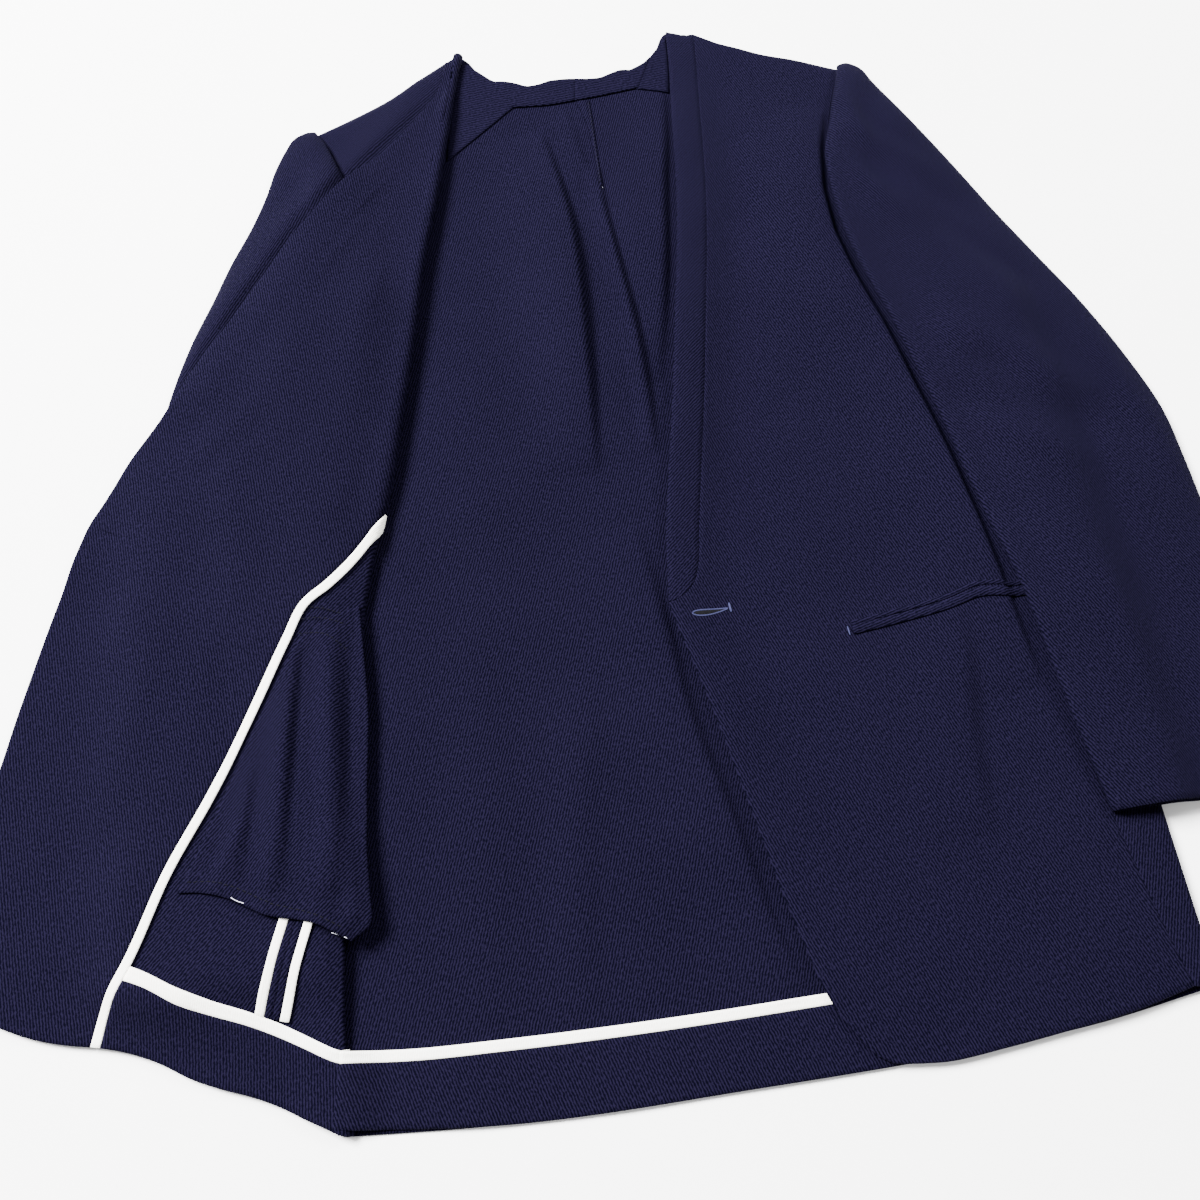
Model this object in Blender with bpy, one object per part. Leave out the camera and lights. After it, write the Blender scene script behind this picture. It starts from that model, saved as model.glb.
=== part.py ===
"""A collarless jacket laid flat, its right front folded down its middle and turned open.

+Z is up off the surface, +Y runs up the back to the neck, and +X is the side of the closed left front.
Left and right are the wearer's. Sizes and tables are in millimetres: across from the centre back, up
from the level of the neck points (so heights along the garment are negative), and off the surface.
"""

import math

import bmesh
import bpy
import numpy as np
from mathutils import Matrix

MM = 0.001

# Cloth: one wall, the gap at a seam, and the step from one lying cloth's middle to the next one's
WALL = 1.2
GAP = 0.4
LAY = WALL + GAP
SEAM = 0.3
HANG_GAP = 0.45

# Trimmings
BAND_WIDTH = 20.0
BAND_END = 9.0
BINDING_WIDTH = 6.5
BINDING_WALL = 1.8
BINDING_RISE = 0.3
JET_WIDTH = 3.2
JET_WALL = 1.0
JET_CLEAR = 1.6
JET_REACH = (30.0, 40.0)
POCKET_END = (224.0, -480.0)
BUTTON_DIAMETER = 18.0
BUTTON_THICKNESS = 3.4
BUTTON_WELL = 2.4
SEWING_HOLE = 1.8
SEWING_HOLE_PLACE = 2.0
BUTTONHOLE_LENGTH = 25.0
BUTTONHOLE_WIDTH = 5.4
BUTTONHOLE_RIM = 1.3
BUTTONHOLE_WALL = 0.7
ALLOWANCE = 3.6
SIDE_BINDING = 5.0
DART_WALL = 1.0
BAG_RISE = 3.1
BAG_RISE_UP = (-520, -590)

# Rolls: radius where a cloth turns over an edge, and where the front falls to the shoulder seam
SIDE_ROLL = 3.0
SHOULDER_ROLL = 9.0
FLAT_LEVEL = WALL / 2
FRONT_LEVEL = 3.2
SEAM_LEVEL = FLAT_LEVEL + LAY
SIDE_LEVEL = FLAT_LEVEL + 2 * SIDE_ROLL
TABLE_GAP = 0.3
SLEEVE_POWER = 2.8
SLEEVE_INSET = 2.4
RAMP_START = 3.0
SLEEVE_RAMP = 30.0
SLEEVE_CLEAR = 0.4
CUFF_REACH = 20.0

# Columns: across, up
LEFT_SHOULDER = [(76, -5), (91, -12), (112, -24), (141, -37), (164, -46), (183, -55), (194, -60)]
RIGHT_SHOULDER = [(-187, -64), (-165, -55), (-142, -45), (-112, -26), (-99, -17), (-78, -6)]
BACK_NECK = [(-78, -6), (-68, -20), (-57, -32), (-34, -39), (0, -40), (34, -38), (58, -29), (69, -17),
             (76, -5)]
BACK_HEM = [(-213, -722), (-140, -728), (0, -731), (120, -730), (190, -726), (251, -718)]
RIGHT_SIDE = [(-213, -722), (-221, -600), (-229, -450), (-236, -330), (-240, -262)]
RIGHT_ARMHOLE = [(-240, -262), (-218, -236), (-190, -205), (-172, -170), (-167, -140), (-173, -105),
                 (-181, -80), (-187, -64)]
LEFT_SIDE = [(251, -718), (251, -650), (251, -520), (248, -380), (242, -300), (236, -262)]
LEFT_ARMHOLE = [(236, -262), (216, -236), (192, -205), (175, -172), (171, -140), (177, -105),
                (186, -80), (194, -60)]
LEFT_SIDE_SEAM = [(240, -716), (235, -690), (229, -650), (225, -621), (221, -560), (220, -480),
                  (223, -380), (230, -300), (236, -262)]
LEFT_HEM = [(73, -730), (99, -733), (133, -731), (174, -727), (207, -723), (240, -716)]
LEFT_FRONT_EDGE = [(73, -730), (64, -724), (56, -712), (49, -700), (37, -656), (25, -590), (12, -517),
                   (4, -479), (0, -457)]
LEFT_V = [(0, -457), (6, -412), (17, -360), (29, -305), (39, -254), (50, -199), (60, -137), (66, -87),
          (73, -34), (76, -5)]
RIGHT_HEM = [(-408, -633), (-393, -641), (-369, -652), (-341, -659), (-317, -667), (-289, -684),
             (-254, -699), (-225, -716), (-214, -722)]
RIGHT_FRONT_EDGE = [(-408, -633), (-416, -620), (-419, -600), (-416, -575), (-409, -540), (-396, -497),
                    (-384, -457), (-372, -422), (-354, -373), (-344, -351)]
RIGHT_V = [(-344, -351), (-332, -334), (-318, -312), (-297, -286), (-268, -243), (-247, -217),
           (-220, -181), (-197, -152), (-168, -119), (-151, -104), (-133, -86), (-121, -73), (-108, -59),
           (-99, -45), (-93, -30), (-89, -15)]
FACING_EDGE = [(-347, -662), (-341, -644), (-324, -615), (-303, -573), (-278, -534), (-254, -493),
               (-230, -447), (-217, -425), (-203, -415), (-177, -388), (-162, -365), (-158, -352)]
BACK_HEM_ENDS = [(-209, -722), (246, -718.5)]
BACK_HEM_LINE = [(-208.8, -686), (-173, -688), (-133, -690), (-78, -692), (-16, -693), (47, -693),
                 (120, -693), (200, -689), (236, -683)]
NECK_BAND_TOP = [(-57, -33), (-45, -35), (-32, -41), (-12, -38), (1, -39), (20, -41), (37, -36),
                 (46, -37), (60, -27)]
NECK_BAND_FOOT = [(-47, -58), (-35, -59), (-19, -60), (-2, -59), (12, -58), (31, -56), (47, -54)]
BAG_LINE = [(-295, -586), (-281, -588), (-268, -593), (-248, -605), (-221, -614), (-203, -626)]
BAG_TOP = [(-219, -449), (-206, -441), (-184, -432)]
BAG_LEFT = [(-295, -586), (-276, -552), (-256, -515), (-236, -478), (-219, -449)]
BAG_RIGHT = [(-203, -626), (-193, -618), (-192, -590), (-189, -544), (-184.5, -500), (-184, -455),
             (-184, -432)]
SIDE_SEAM_INSIDE = [(-246.5, -650), (-242.5, -639), (-236, -622), (-229.5, -606)]
RIGHT_SHOULDER_FACING = [
    [(-97, -100), (-92.5, -72), (-86.7, -47), (-81, -24), (-76.5, -11)],
    [(-48.5, -59), (-51.5, -52), (-55, -44), (-58, -36), (-60, -32)],
]
LEFT_SHOULDER_FACING = [
    [(49, -54.5), (51.5, -47), (55.5, -40), (59.5, -33), (62.5, -27.5)],
    [(68, -62), (70, -50), (71.5, -38), (73, -26), (74, -11)],
]
DART_FOLD = [(0.8, -60), (3.5, -76), (5, -90), (5.5, -118), (6, -142)]
DART_STITCHES = [(10, -60), (9.6, -76), (9, -94), (8, -118), (7, -142)]
UPPER_JET = [(105, -488.5), (142, -481.5), (175, -477.5), (210, -475), (229, -473)]
LOWER_JET = [(105, -492.5), (134, -488.5), (166, -484), (208, -481), (229, -479.5)]
BUTTONHOLE_PLACE = (24.5, -463.5)
BUTTONHOLE_WAY = (1.0, -0.04)

# The fold of the right front, from the hem to the neck. Columns: across, up, height of the upper cloth
FRONT_FOLD = [(-213, -722, 4.4), (-212, -676, 5.0), (-208, -626, 6.0), (-200, -560, 7.5),
              (-192, -500, 8.5), (-185, -450, 9.5), (-173, -399, 10.5), (-159, -350, 11.0),
              (-146, -294, 11.5), (-136, -251, 11.5), (-126, -200, 11.5), (-112, -146, 11.0),
              (-99, -94, 10.0), (-90, -55, 8.5), (-83, -25, 7.5), (-78, -8, 7.0)]

# Sections of the sleeves. Columns: up, inner edge, outer edge, rise of the upper cloth
LEFT_SLEEVE = [(-60, 193, 200, 3), (-66, 191, 208, 6), (-78, 187, 214, 10), (-94, 181, 221.5, 13),
               (-115, 174, 231, 15), (-142, 164.5, 244, 16), (-176, 161, 259, 16),
               (-208, 161.5, 273, 15), (-240, 166.5, 288, 15), (-283, 177, 308, 14),
               (-331, 186, 326, 13), (-373, 193, 337, 12.5),
               (-406, 197, 339, 12.5), (-438, 202, 340, 12), (-478, 209, 341, 11), (-518, 213, 343, 10),
               (-560, 217, 345, 9.5), (-619, 224, 348, 9)]
RIGHT_SLEEVE = [(-64, -187, -193, 2.5), (-68, -185, -201, 4.5), (-76, -181, -208, 6.5),
                (-90, -176, -215.5, 8), (-114, -169, -224, 9), (-139, -164, -235, 9.5),
                (-171, -161, -252, 10), (-197, -161, -264, 9.5), (-223, -163, -277, 9),
                (-250, -168, -288, 9),
                (-284, -175, -299, 8.5), (-330, -182, -311, 8.5), (-373, -187, -318, 8.5),
                (-406, -190, -320, 8.5), (-438, -194, -321, 8), (-478, -200, -324, 8), (-518, -206, -326, 8),
                (-560, -212, -329, 7.5), (-612, -220, -334, 7.5)]

# The body's edge under each sleeve. Columns: up, across
LEFT_BODY_EDGE = [(-60, 194), (-80, 188), (-105, 181), (-140, 177), (-172, 181), (-205, 197), (-236, 221),
                  (-262, 243), (-300, 249), (-450, 254), (-720, 255)]
RIGHT_BODY_EDGE = [(-64, -187), (-80, -183), (-105, -177), (-140, -172), (-170, -177), (-205, -194),
                   (-236, -222), (-262, -242), (-330, -238), (-450, -231), (-600, -223), (-722, -215)]

# Soft folds. Columns: across and up at one end, the same at the other, half width, rise
BACK_FOLDS = [(5, -62, 13, -250, 13, 3.0), (-46, -100, -6, -360, 26, 3.2), (-96, -240, -120, -470, 30, 1.6)]
FRONT_FOLDS = [(78, -40, 18, -420, 24, 3.0), (120, -60, 132, -330, 46, 4.6), (96, -430, 140, -700, 40, 1.2)]
MIDDLE_FOLDS = [(-120, -60, -132, -330, 46, 3.6)]
BAG_FOLDS = [(-232, -470, -256, -600, 9, 3.0), (-205, -455, -222, -618, 7, 3.2),
             (-193, -500, -200, -622, 5, 2.0)]
FOLD_SPREAD = 1.9

# The left front's middle surface: where it climbs to the side seam, and the step over its hem turn-up
CLIMB_ACROSS = (150, 222)
CLIMB_UP = (-240, -300)
HEM_STEP = 1.6
HEM_STEP_UP = (-655, -688)

# The right front's lower cloth: its level, how it rises toward the chest, and its reach from the side seam
MIDDLE_LEVEL = 2.5
MIDDLE_RISE = 2.0
MIDDLE_RISE_UP = (-440, -360)
MIDDLE_REACH = 28.0

# How the turned-open cloth hangs over what is under it
BUTTON_PLACE = (-337.0, -367.0)
BUTTON_MARGIN = 4.0
BODY_MARGIN = 8.0
SUPPORT_REACH = 9.0
SUPPORT_CLEAR = 0.3
DRAPE_CLEAR = 1.1
DRAPE_ROUNDS = 900
DRAPE_BEND = 0.010

# Rows up the two fronts: places along their edges, closer together at the point of the V and the shoulder
LEFT_EDGE_PLACES = [0, 0.03, 0.06, 0.09, 0.13, 0.19, 0.27, 0.36, 0.47, 0.59, 0.71, 0.82, 0.92, 1.0]
RIGHT_EDGE_PLACES = [0, 0.036, 0.078, 0.125, 0.18, 0.24, 0.31, 0.39, 0.48, 0.59, 0.71, 0.82, 0.92, 1.0]
EDGE_ROWS = 13
V_PLACES = [0.002, 0.012, 0.03, 0.06, 0.11, 0.18, 0.27, 0.37, 0.47, 0.57, 0.67, 0.77, 0.86, 0.93, 0.972,
            0.991, 1.0]
SEAM_ROWS = 18
ARMHOLE_PLACES = [0.09, 0.19, 0.30, 0.41, 0.52, 0.63, 0.74, 0.84, 0.91, 0.955, 0.985, 1.0]
FOLD_PLACES = [0, 0.013, 0.027, 0.041, 0.056, 0.078, 0.104, 0.134, 0.17, 0.21, 0.25, 0.29, 0.33, 0.37,
               0.40, 0.43, 0.458, 0.485, 0.511, 0.535, 0.57, 0.62, 0.68, 0.74, 0.80, 0.86, 0.915, 0.957,
               0.983, 0.9945, 1.0]
SLEEVE_PLACES = [0, 0.01, 0.03, 0.06, 0.10, 0.15, 0.20, 0.26, 0.32, 0.38, 0.45, 0.52, 0.59, 0.66, 0.74,
                 0.82, 0.91, 1.0]
SLEEVE_COLUMNS = 12
UNDER_COLUMNS = 8
UNDER_START = 3
HEM_LEVEL = 3.8
HEM_BINDING_REACH = 0.3
HEM_ROW_GAP = 0.04
FRONT_COLUMNS = 12
OPEN_COLUMNS = 12
MIDDLE_COLUMNS = 4
ROLL_STEPS = 6
SHOULDER_COLUMNS = 4
NECK_COLUMNS = 8
BACK_COLUMNS = 2 * SHOULDER_COLUMNS + NECK_COLUMNS
WRAP_COLUMNS = 2

# The right front's first column, the most of its width that its band takes, and the corner where its lower
# cloth runs out at the hem
EDGE_COLUMN = 0.8
BAND_SHARE = 0.45
CORNER_END = [(-5, 1.5), (-9, 0.5)]

# The facing's inset from the front edge, and its columns' spacing where they are packed at its other edge
FACING_INSET = 0.4
PACKED_COLUMN = 0.3

# The binding's tip: where the facing's edge goes over the fold, its slope, and how far each reaches round it
TIP_UP = -352.0
TIP_REACH = 2.4
TIP_SLOPE = 0.05
TIP_WRAP = 0.55
TIP_LEAST = 0.3
LEAST_LEAN = 0.5

# How far past the fold the turned-open cloth is carried on level, for what lies near the fold
SHELF_REACH = (3, 14)


def spline(keys, values, at):
    """Values read at some keys from a smooth curve through a table."""
    keys = np.asarray(keys, float)
    values = np.asarray(values, float)
    at = np.asarray(at, float)
    slopes = np.gradient(values, keys, axis=0)
    index = np.clip(np.searchsorted(keys, at, side="right") - 1, 0, len(keys) - 2)
    step = keys[index + 1] - keys[index]
    part = (at - keys[index]) / step
    if values.ndim == 2:
        step = step[:, None]
        part = part[:, None]
    rest = 1 - part
    return (
        (1 + 2 * part) * rest**2 * values[index]
        + part * rest**2 * step * slopes[index]
        + part**2 * (3 - 2 * part) * values[index + 1]
        - part**2 * rest * step * slopes[index + 1]
    )


def rail(rows, places):
    """Points at places from 0 to 1 along a smooth curve through a table's rows."""
    rows = np.asarray(rows, float)
    steps = np.linalg.norm(np.diff(rows[:, :2], axis=0), axis=1)
    along = np.concatenate(([0], np.cumsum(steps)))
    return spline(along, rows, np.asarray(places) * along[-1])


def even(count):
    return np.linspace(0, 1, count + 1)


def joined(*rails):
    """Rails that follow each other, each sharing its first point with the last one's end."""
    return np.concatenate([rails[0], *(points[1:] for points in rails[1:])])


def patch(foot, head, left, right):
    """Plan points between four edges: rows run from foot to head, columns from left to right."""
    across = np.linspace(0, 1, len(foot))[None, :, None]
    up = np.linspace(0, 1, len(left))[:, None, None]
    sides = (1 - across) * left[:, None] + across * right[:, None]
    ends = (1 - up) * foot[None] + up * head[None]
    corners = (
        (1 - across) * (1 - up) * foot[0]
        + across * (1 - up) * foot[-1]
        + (1 - across) * up * head[0]
        + across * up * head[-1]
    )
    return sides + ends - corners


def ramp(value, start, end):
    """From 0 at the start to 1 at the end, smoothly."""
    part = np.clip((value - start) / (end - start), 0, 1)
    return part * part * (3 - 2 * part)


def lifted(plan, height):
    return np.concatenate([plan, height[..., None]], axis=-1)


def folds(plan, table):
    """The rise of soft folds at plan points."""
    rise = np.zeros(plan.shape[:-1])
    for across_0, up_0, across_1, up_1, half_width, height in table:
        run = math.hypot(across_1 - across_0, up_1 - up_0)
        way = np.array([across_1 - across_0, up_1 - up_0]) / run
        offset = plan - np.array([across_0, up_0])
        along = np.clip(offset @ way / run, 0, 1)
        beside = offset @ np.array([-way[1], way[0]])
        bell = np.clip(1 - (beside / (FOLD_SPREAD * half_width)) ** 2, 0, 1) ** 3
        rise += height * bell * np.sin(math.pi * along) ** 0.8
    return rise


def distance_to(curve, plan):
    """The distance from plan points to a curve given as points."""
    best = np.full(plan.shape[:-1], np.inf)
    for start, end in zip(curve[:-1], curve[1:]):
        way = end - start
        part = np.clip((plan - start) @ way / (way @ way), 0, 1)
        best = np.minimum(best, np.linalg.norm(plan - start - part[..., None] * way, axis=-1))
    return best


def fallen(height, low, distance, radius):
    """A height that rounds down to a low level within a radius of an edge."""
    part = np.clip(1 - distance / radius, 0, 1)
    return low + (height - low) * np.sqrt(1 - part**2)


def front_height(plan):
    """The left front's middle surface: over the hem turn-up, up to the side seam, down to the shoulder."""
    side = ramp(plan[..., 0], *CLIMB_ACROSS) * ramp(plan[..., 1], *CLIMB_UP)
    hem = HEM_STEP * ramp(plan[..., 1], *HEM_STEP_UP)
    height = FRONT_LEVEL + hem * (1 - side) + (SIDE_LEVEL - FRONT_LEVEL) * side
    height = height + folds(plan, FRONT_FOLDS) * (1 - side)
    return fallen(height, SEAM_LEVEL, distance_to(rail(LEFT_SHOULDER, even(12)), plan), SHOULDER_ROLL)


def middle_height(plan):
    """The right front's lower cloth, outer side up on the back: its edges meet the back's."""
    body = rail(joined(np.array(RIGHT_SIDE), np.array(RIGHT_ARMHOLE)), even(30))
    height = MIDDLE_LEVEL + MIDDLE_RISE * ramp(plan[..., 1], *MIDDLE_RISE_UP) + folds(plan, MIDDLE_FOLDS)
    height = SEAM_LEVEL + (height - SEAM_LEVEL) * ramp(distance_to(body, plan), 0, MIDDLE_REACH)
    return fallen(height, SEAM_LEVEL, distance_to(rail(RIGHT_SHOULDER, even(12)), plan), SHOULDER_ROLL)


def table_column(table, number, up):
    """One column of a table whose first column falls from the neck to the hem."""
    rows = np.array(table, float)[::-1]
    return spline(rows[:, 0], rows[:, number], np.clip(up, rows[0, 0], rows[-1, 0]))


def left_rest(plan):
    """The level that the left sleeve lies on: the front, then a slope down to the surface."""
    edge = table_column(LEFT_BODY_EDGE, 1, plan[..., 1])
    offset = (plan - np.array(POCKET_END)) / np.array(JET_REACH)
    pocket = offset[..., 0] ** 4 + offset[..., 1] ** 4
    on_body = front_height(plan) + WALL / 2 + GAP + SLEEVE_CLEAR + JET_CLEAR * np.exp(-pocket)
    off_body = ramp(plan[..., 0], edge + RAMP_START, edge + SLEEVE_RAMP)
    return on_body + (TABLE_GAP - on_body) * off_body


def right_rest(plan):
    """The level that the right sleeve lies on."""
    edge = table_column(RIGHT_BODY_EDGE, 1, plan[..., 1])
    on_body = middle_height(plan) + WALL / 2 + GAP + SLEEVE_CLEAR
    off_body = ramp(plan[..., 0], edge - RAMP_START, edge - SLEEVE_RAMP)
    return on_body + (TABLE_GAP - on_body) * off_body


def sleeve_dome(plan, table, rest):
    """The height of a sleeve's upper cloth over plan points, and where there is none, below the surface."""
    up = plan[..., 1]
    inner = table_column(table, 1, up)
    outer = table_column(table, 2, up)
    side = 2 * (plan[..., 0] - inner) / (outer - inner) - 1
    inside = (np.abs(side) < 1) & (up < table[0][0]) & (up > table[-1][0] - CUFF_REACH)
    dome = np.clip(1 - np.abs(side) ** SLEEVE_POWER, 0, 1) ** (1 / SLEEVE_POWER)
    return np.where(inside, rest(plan) + table_column(table, 3, up) * dome, -WALL)


def open_support(plan):
    """The lowest level that the turned-open cloth may have over the surface, back, sleeve and button."""
    edge = table_column(RIGHT_BODY_EDGE, 1, plan[..., 1])
    level = np.full(plan.shape[:-1], TABLE_GAP + WALL / 2)
    on_body = (plan[..., 0] > edge - BODY_MARGIN) & (plan[..., 1] < 0)
    level = np.where(on_body, middle_height(plan) + LAY + SUPPORT_CLEAR, level)
    level = np.maximum(level, sleeve_dome(plan, RIGHT_SLEEVE, right_rest) + LAY + DRAPE_CLEAR)
    button = np.linalg.norm(plan - np.array(BUTTON_PLACE), axis=-1)
    under = TABLE_GAP + BUTTON_THICKNESS + GAP + WALL / 2
    return np.maximum(level, np.where(button < BUTTON_DIAMETER / 2 + BUTTON_MARGIN, under, 0))


def draped(plan, fixed_last):
    """Heights of a cloth that hangs in soft curves over what supports it, its last column fixed."""
    support = open_support(plan)
    for turn in range(8):
        angle = turn * math.pi / 4
        reach = SUPPORT_REACH * np.array([math.cos(angle), math.sin(angle)])
        support = np.maximum(support, open_support(plan + reach))
    wide = np.linalg.norm(np.diff(plan, axis=1), axis=2)
    tall = np.linalg.norm(np.diff(plan, axis=0), axis=2)
    wide = np.pad(wide, ((0, 0), (0, 1)), mode="edge")
    tall = np.pad(tall, ((0, 1), (0, 0)), mode="edge")
    height = support.copy()
    height[:, -1] = fixed_last
    weight_across = tall**2 / (wide**2 + tall**2) / 2
    weight_up = wide**2 / (wide**2 + tall**2) / 2
    sag = DRAPE_BEND * wide**2 * tall**2 / (wide**2 + tall**2) / 2
    for _ in range(DRAPE_ROUNDS):
        wrapped = np.pad(height, 1, mode="edge")
        beside = wrapped[1:-1, :-2] + wrapped[1:-1, 2:]
        above = wrapped[:-2, 1:-1] + wrapped[2:, 1:-1]
        height = np.maximum(support, weight_across * beside + weight_up * above - sag)
        height[:, -1] = fixed_last
    return height


def normals_of(grid):
    """Unit normals of a grid of points, up where rows run up and columns run to the right."""
    across = np.gradient(grid, axis=1)
    up = np.gradient(grid, axis=0)
    normal = np.cross(across, up)
    return normal / np.linalg.norm(normal, axis=-1, keepdims=True)


def outward(points):
    """Unit vectors in plan to the right of a rail that runs up."""
    way = np.gradient(points[:, :2], axis=0)
    way /= np.linalg.norm(way, axis=1, keepdims=True)
    return np.stack([way[:, 1], -way[:, 0]], axis=1)


def height_on(grid, plan):
    """The height of a grid's surface at plan points, read on its triangles."""
    a, b, c, d = grid[:-1, :-1], grid[:-1, 1:], grid[1:, 1:], grid[1:, :-1]
    triangles = [np.stack(corners, axis=2).reshape(-1, 3, 3) for corners in ((a, b, c), (a, c, d))]
    corners = np.concatenate(triangles)
    start = corners[:, 0, :2]
    one = corners[:, 1, :2] - start
    two = corners[:, 2, :2] - start
    area = one[:, 0] * two[:, 1] - one[:, 1] * two[:, 0]
    offset = plan.reshape(-1, 1, 2) - start
    share_1 = (offset[..., 0] * two[:, 1] - offset[..., 1] * two[:, 0]) / area
    share_2 = (one[:, 0] * offset[..., 1] - one[:, 1] * offset[..., 0]) / area
    inside = np.minimum(np.minimum(share_1, share_2), 1 - share_1 - share_2)
    best = np.argmax(inside, axis=1)
    rows = np.arange(len(best))
    s_1 = share_1[rows, best]
    s_2 = share_2[rows, best]
    low = corners[best, :, 2]
    height = low[:, 0] * (1 - s_1 - s_2) + low[:, 1] * s_1 + low[:, 2] * s_2
    return height.reshape(plan.shape[:-1])


def row_length(points):
    """The length along a row of points, from its start to each of them."""
    return np.concatenate(([0], np.cumsum(np.linalg.norm(np.diff(points, axis=0), axis=1))))


def along_row(points, normals, places, out):
    """Points at distances along one row of a grid, moved out along its normals."""
    run = row_length(points)
    at = np.stack([np.interp(places, run, points[:, axis]) for axis in range(3)], axis=1)
    facing = np.stack([np.interp(places, run, normals[:, axis]) for axis in range(3)], axis=1)
    facing /= np.linalg.norm(facing, axis=1, keepdims=True)
    return at + facing * out


def finish(name, red, green, blue, roughness):
    """A Principled material of one colour, given in linear light."""
    material = bpy.data.materials.new(name)
    material.use_nodes = True
    shader = material.node_tree.nodes["Principled BSDF"]
    shader.inputs["Base Color"].default_value = (red, green, blue, 1)
    shader.inputs["Roughness"].default_value = roughness
    shader.inputs["Metallic"].default_value = 0
    return material


def add_object(name, mesh, material, parent):
    piece = bpy.data.objects.new(name, mesh)
    bpy.context.scene.collection.objects.link(piece)
    mesh.materials.append(material)
    piece.parent = parent
    return piece


def cloth(name, grid, material, parent, wall=WALL):
    """A closed wall of even thickness whose middle surface is a grid of points."""
    rows, columns = grid.shape[:2]
    half = normals_of(grid) * wall / 2
    points = np.concatenate([(grid + half).reshape(-1, 3), (grid - half).reshape(-1, 3)]) * MM
    number = np.arange(rows * columns).reshape(rows, columns)
    below = number + rows * columns
    faces = []
    for i in range(rows - 1):
        for j in range(columns - 1):
            a, b, c, d = number[i, j], number[i, j + 1], number[i + 1, j + 1], number[i + 1, j]
            faces.append((a, b, c, d))
            a, b, c, d = below[i, j], below[i, j + 1], below[i + 1, j + 1], below[i + 1, j]
            faces.append((a, d, c, b))
    rim = [*number[0, :], *number[1:, -1], *number[-1, -2::-1], *number[-2:0:-1, 0]]
    under = [*below[0, :], *below[1:, -1], *below[-1, -2::-1], *below[-2:0:-1, 0]]
    for i in range(len(rim)):
        j = (i + 1) % len(rim)
        faces.append((rim[i], under[i], under[j], rim[j]))
    mesh = bpy.data.meshes.new(name)
    mesh.from_pydata(points.tolist(), [], [tuple(int(v) for v in face) for face in faces])
    mesh.shade_smooth()
    mesh.set_sharp_from_angle(angle=math.radians(50))
    return add_object(name, mesh, material, parent)


def ring(name, outer, inner, low, high, material, parent):
    """A closed flat ring between two loops of plan points, from one height to another at each point."""
    count = len(outer)
    loops = [lifted(outer, low), lifted(outer, high), lifted(inner, high), lifted(inner, low)]
    points = np.concatenate(loops) * MM
    faces = []
    for level in range(4):
        other = (level + 1) % 4
        for i in range(count):
            j = (i + 1) % count
            faces.append((level * count + i, level * count + j, other * count + j, other * count + i))
    mesh = bpy.data.meshes.new(name)
    mesh.from_pydata(points.tolist(), [], faces)
    return add_object(name, mesh, material, parent)


def back_grid():
    """The back: flat on the surface, its left edge rolled up and over to the side seam."""
    foot = rail(BACK_HEM, even(BACK_COLUMNS))
    head = joined(
        rail(RIGHT_SHOULDER, even(SHOULDER_COLUMNS)),
        rail(BACK_NECK, even(NECK_COLUMNS)),
        rail(LEFT_SHOULDER, even(SHOULDER_COLUMNS)),
    )
    left = joined(rail(RIGHT_SIDE, even(SEAM_ROWS)), rail(RIGHT_ARMHOLE, [0, *ARMHOLE_PLACES]))
    right = joined(rail(LEFT_SIDE, even(SEAM_ROWS)), rail(LEFT_ARMHOLE, [0, *ARMHOLE_PLACES]))
    plan = patch(foot, head, left, right)
    flat = lifted(plan, FLAT_LEVEL + folds(plan, BACK_FOLDS))
    seam = joined(rail(LEFT_SIDE_SEAM, even(SEAM_ROWS)), rail(LEFT_ARMHOLE, [0, *ARMHOLE_PLACES]))
    columns = [flat]
    rolled = np.zeros(len(left))
    rolled[: SEAM_ROWS - 1] = 1
    rolled[SEAM_ROWS - 1] = 0.5
    angles = [math.pi * step / ROLL_STEPS for step in range(1, ROLL_STEPS + 1)]
    shapes = [(SIDE_ROLL * math.sin(a), SIDE_ROLL * (1 - math.cos(a))) for a in angles]
    for number in range(ROLL_STEPS + WRAP_COLUMNS):
        if number < ROLL_STEPS:
            reach = np.full(len(left), shapes[number][0])
            rise = shapes[number][1]
            up = right[:, 1]
        else:
            part = (number - ROLL_STEPS + 1) / WRAP_COLUMNS
            reach = (seam[:, 0] + GAP / 2 - right[:, 0]) * part
            rise = 2 * SIDE_ROLL
            up = right[:, 1] + (seam[:, 1] - right[:, 1]) * part * rolled
        across = right[:, 0] + rolled * reach + (1 - rolled) * 0.9 * (number + 1)
        height = FLAT_LEVEL + rolled * rise
        columns.append(np.stack([across, up, height], axis=1)[:, None])
    return np.concatenate(columns, axis=1)


def band_line(v_rail):
    """The seam between a neckline band and its front: the V's edge moved in, rounded to its point."""
    steps = np.linalg.norm(np.diff(v_rail, axis=0), axis=1)
    along = np.concatenate(([0], np.cumsum(steps)))
    return BAND_WIDTH * (1 - np.exp(-along / BAND_END))


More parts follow.
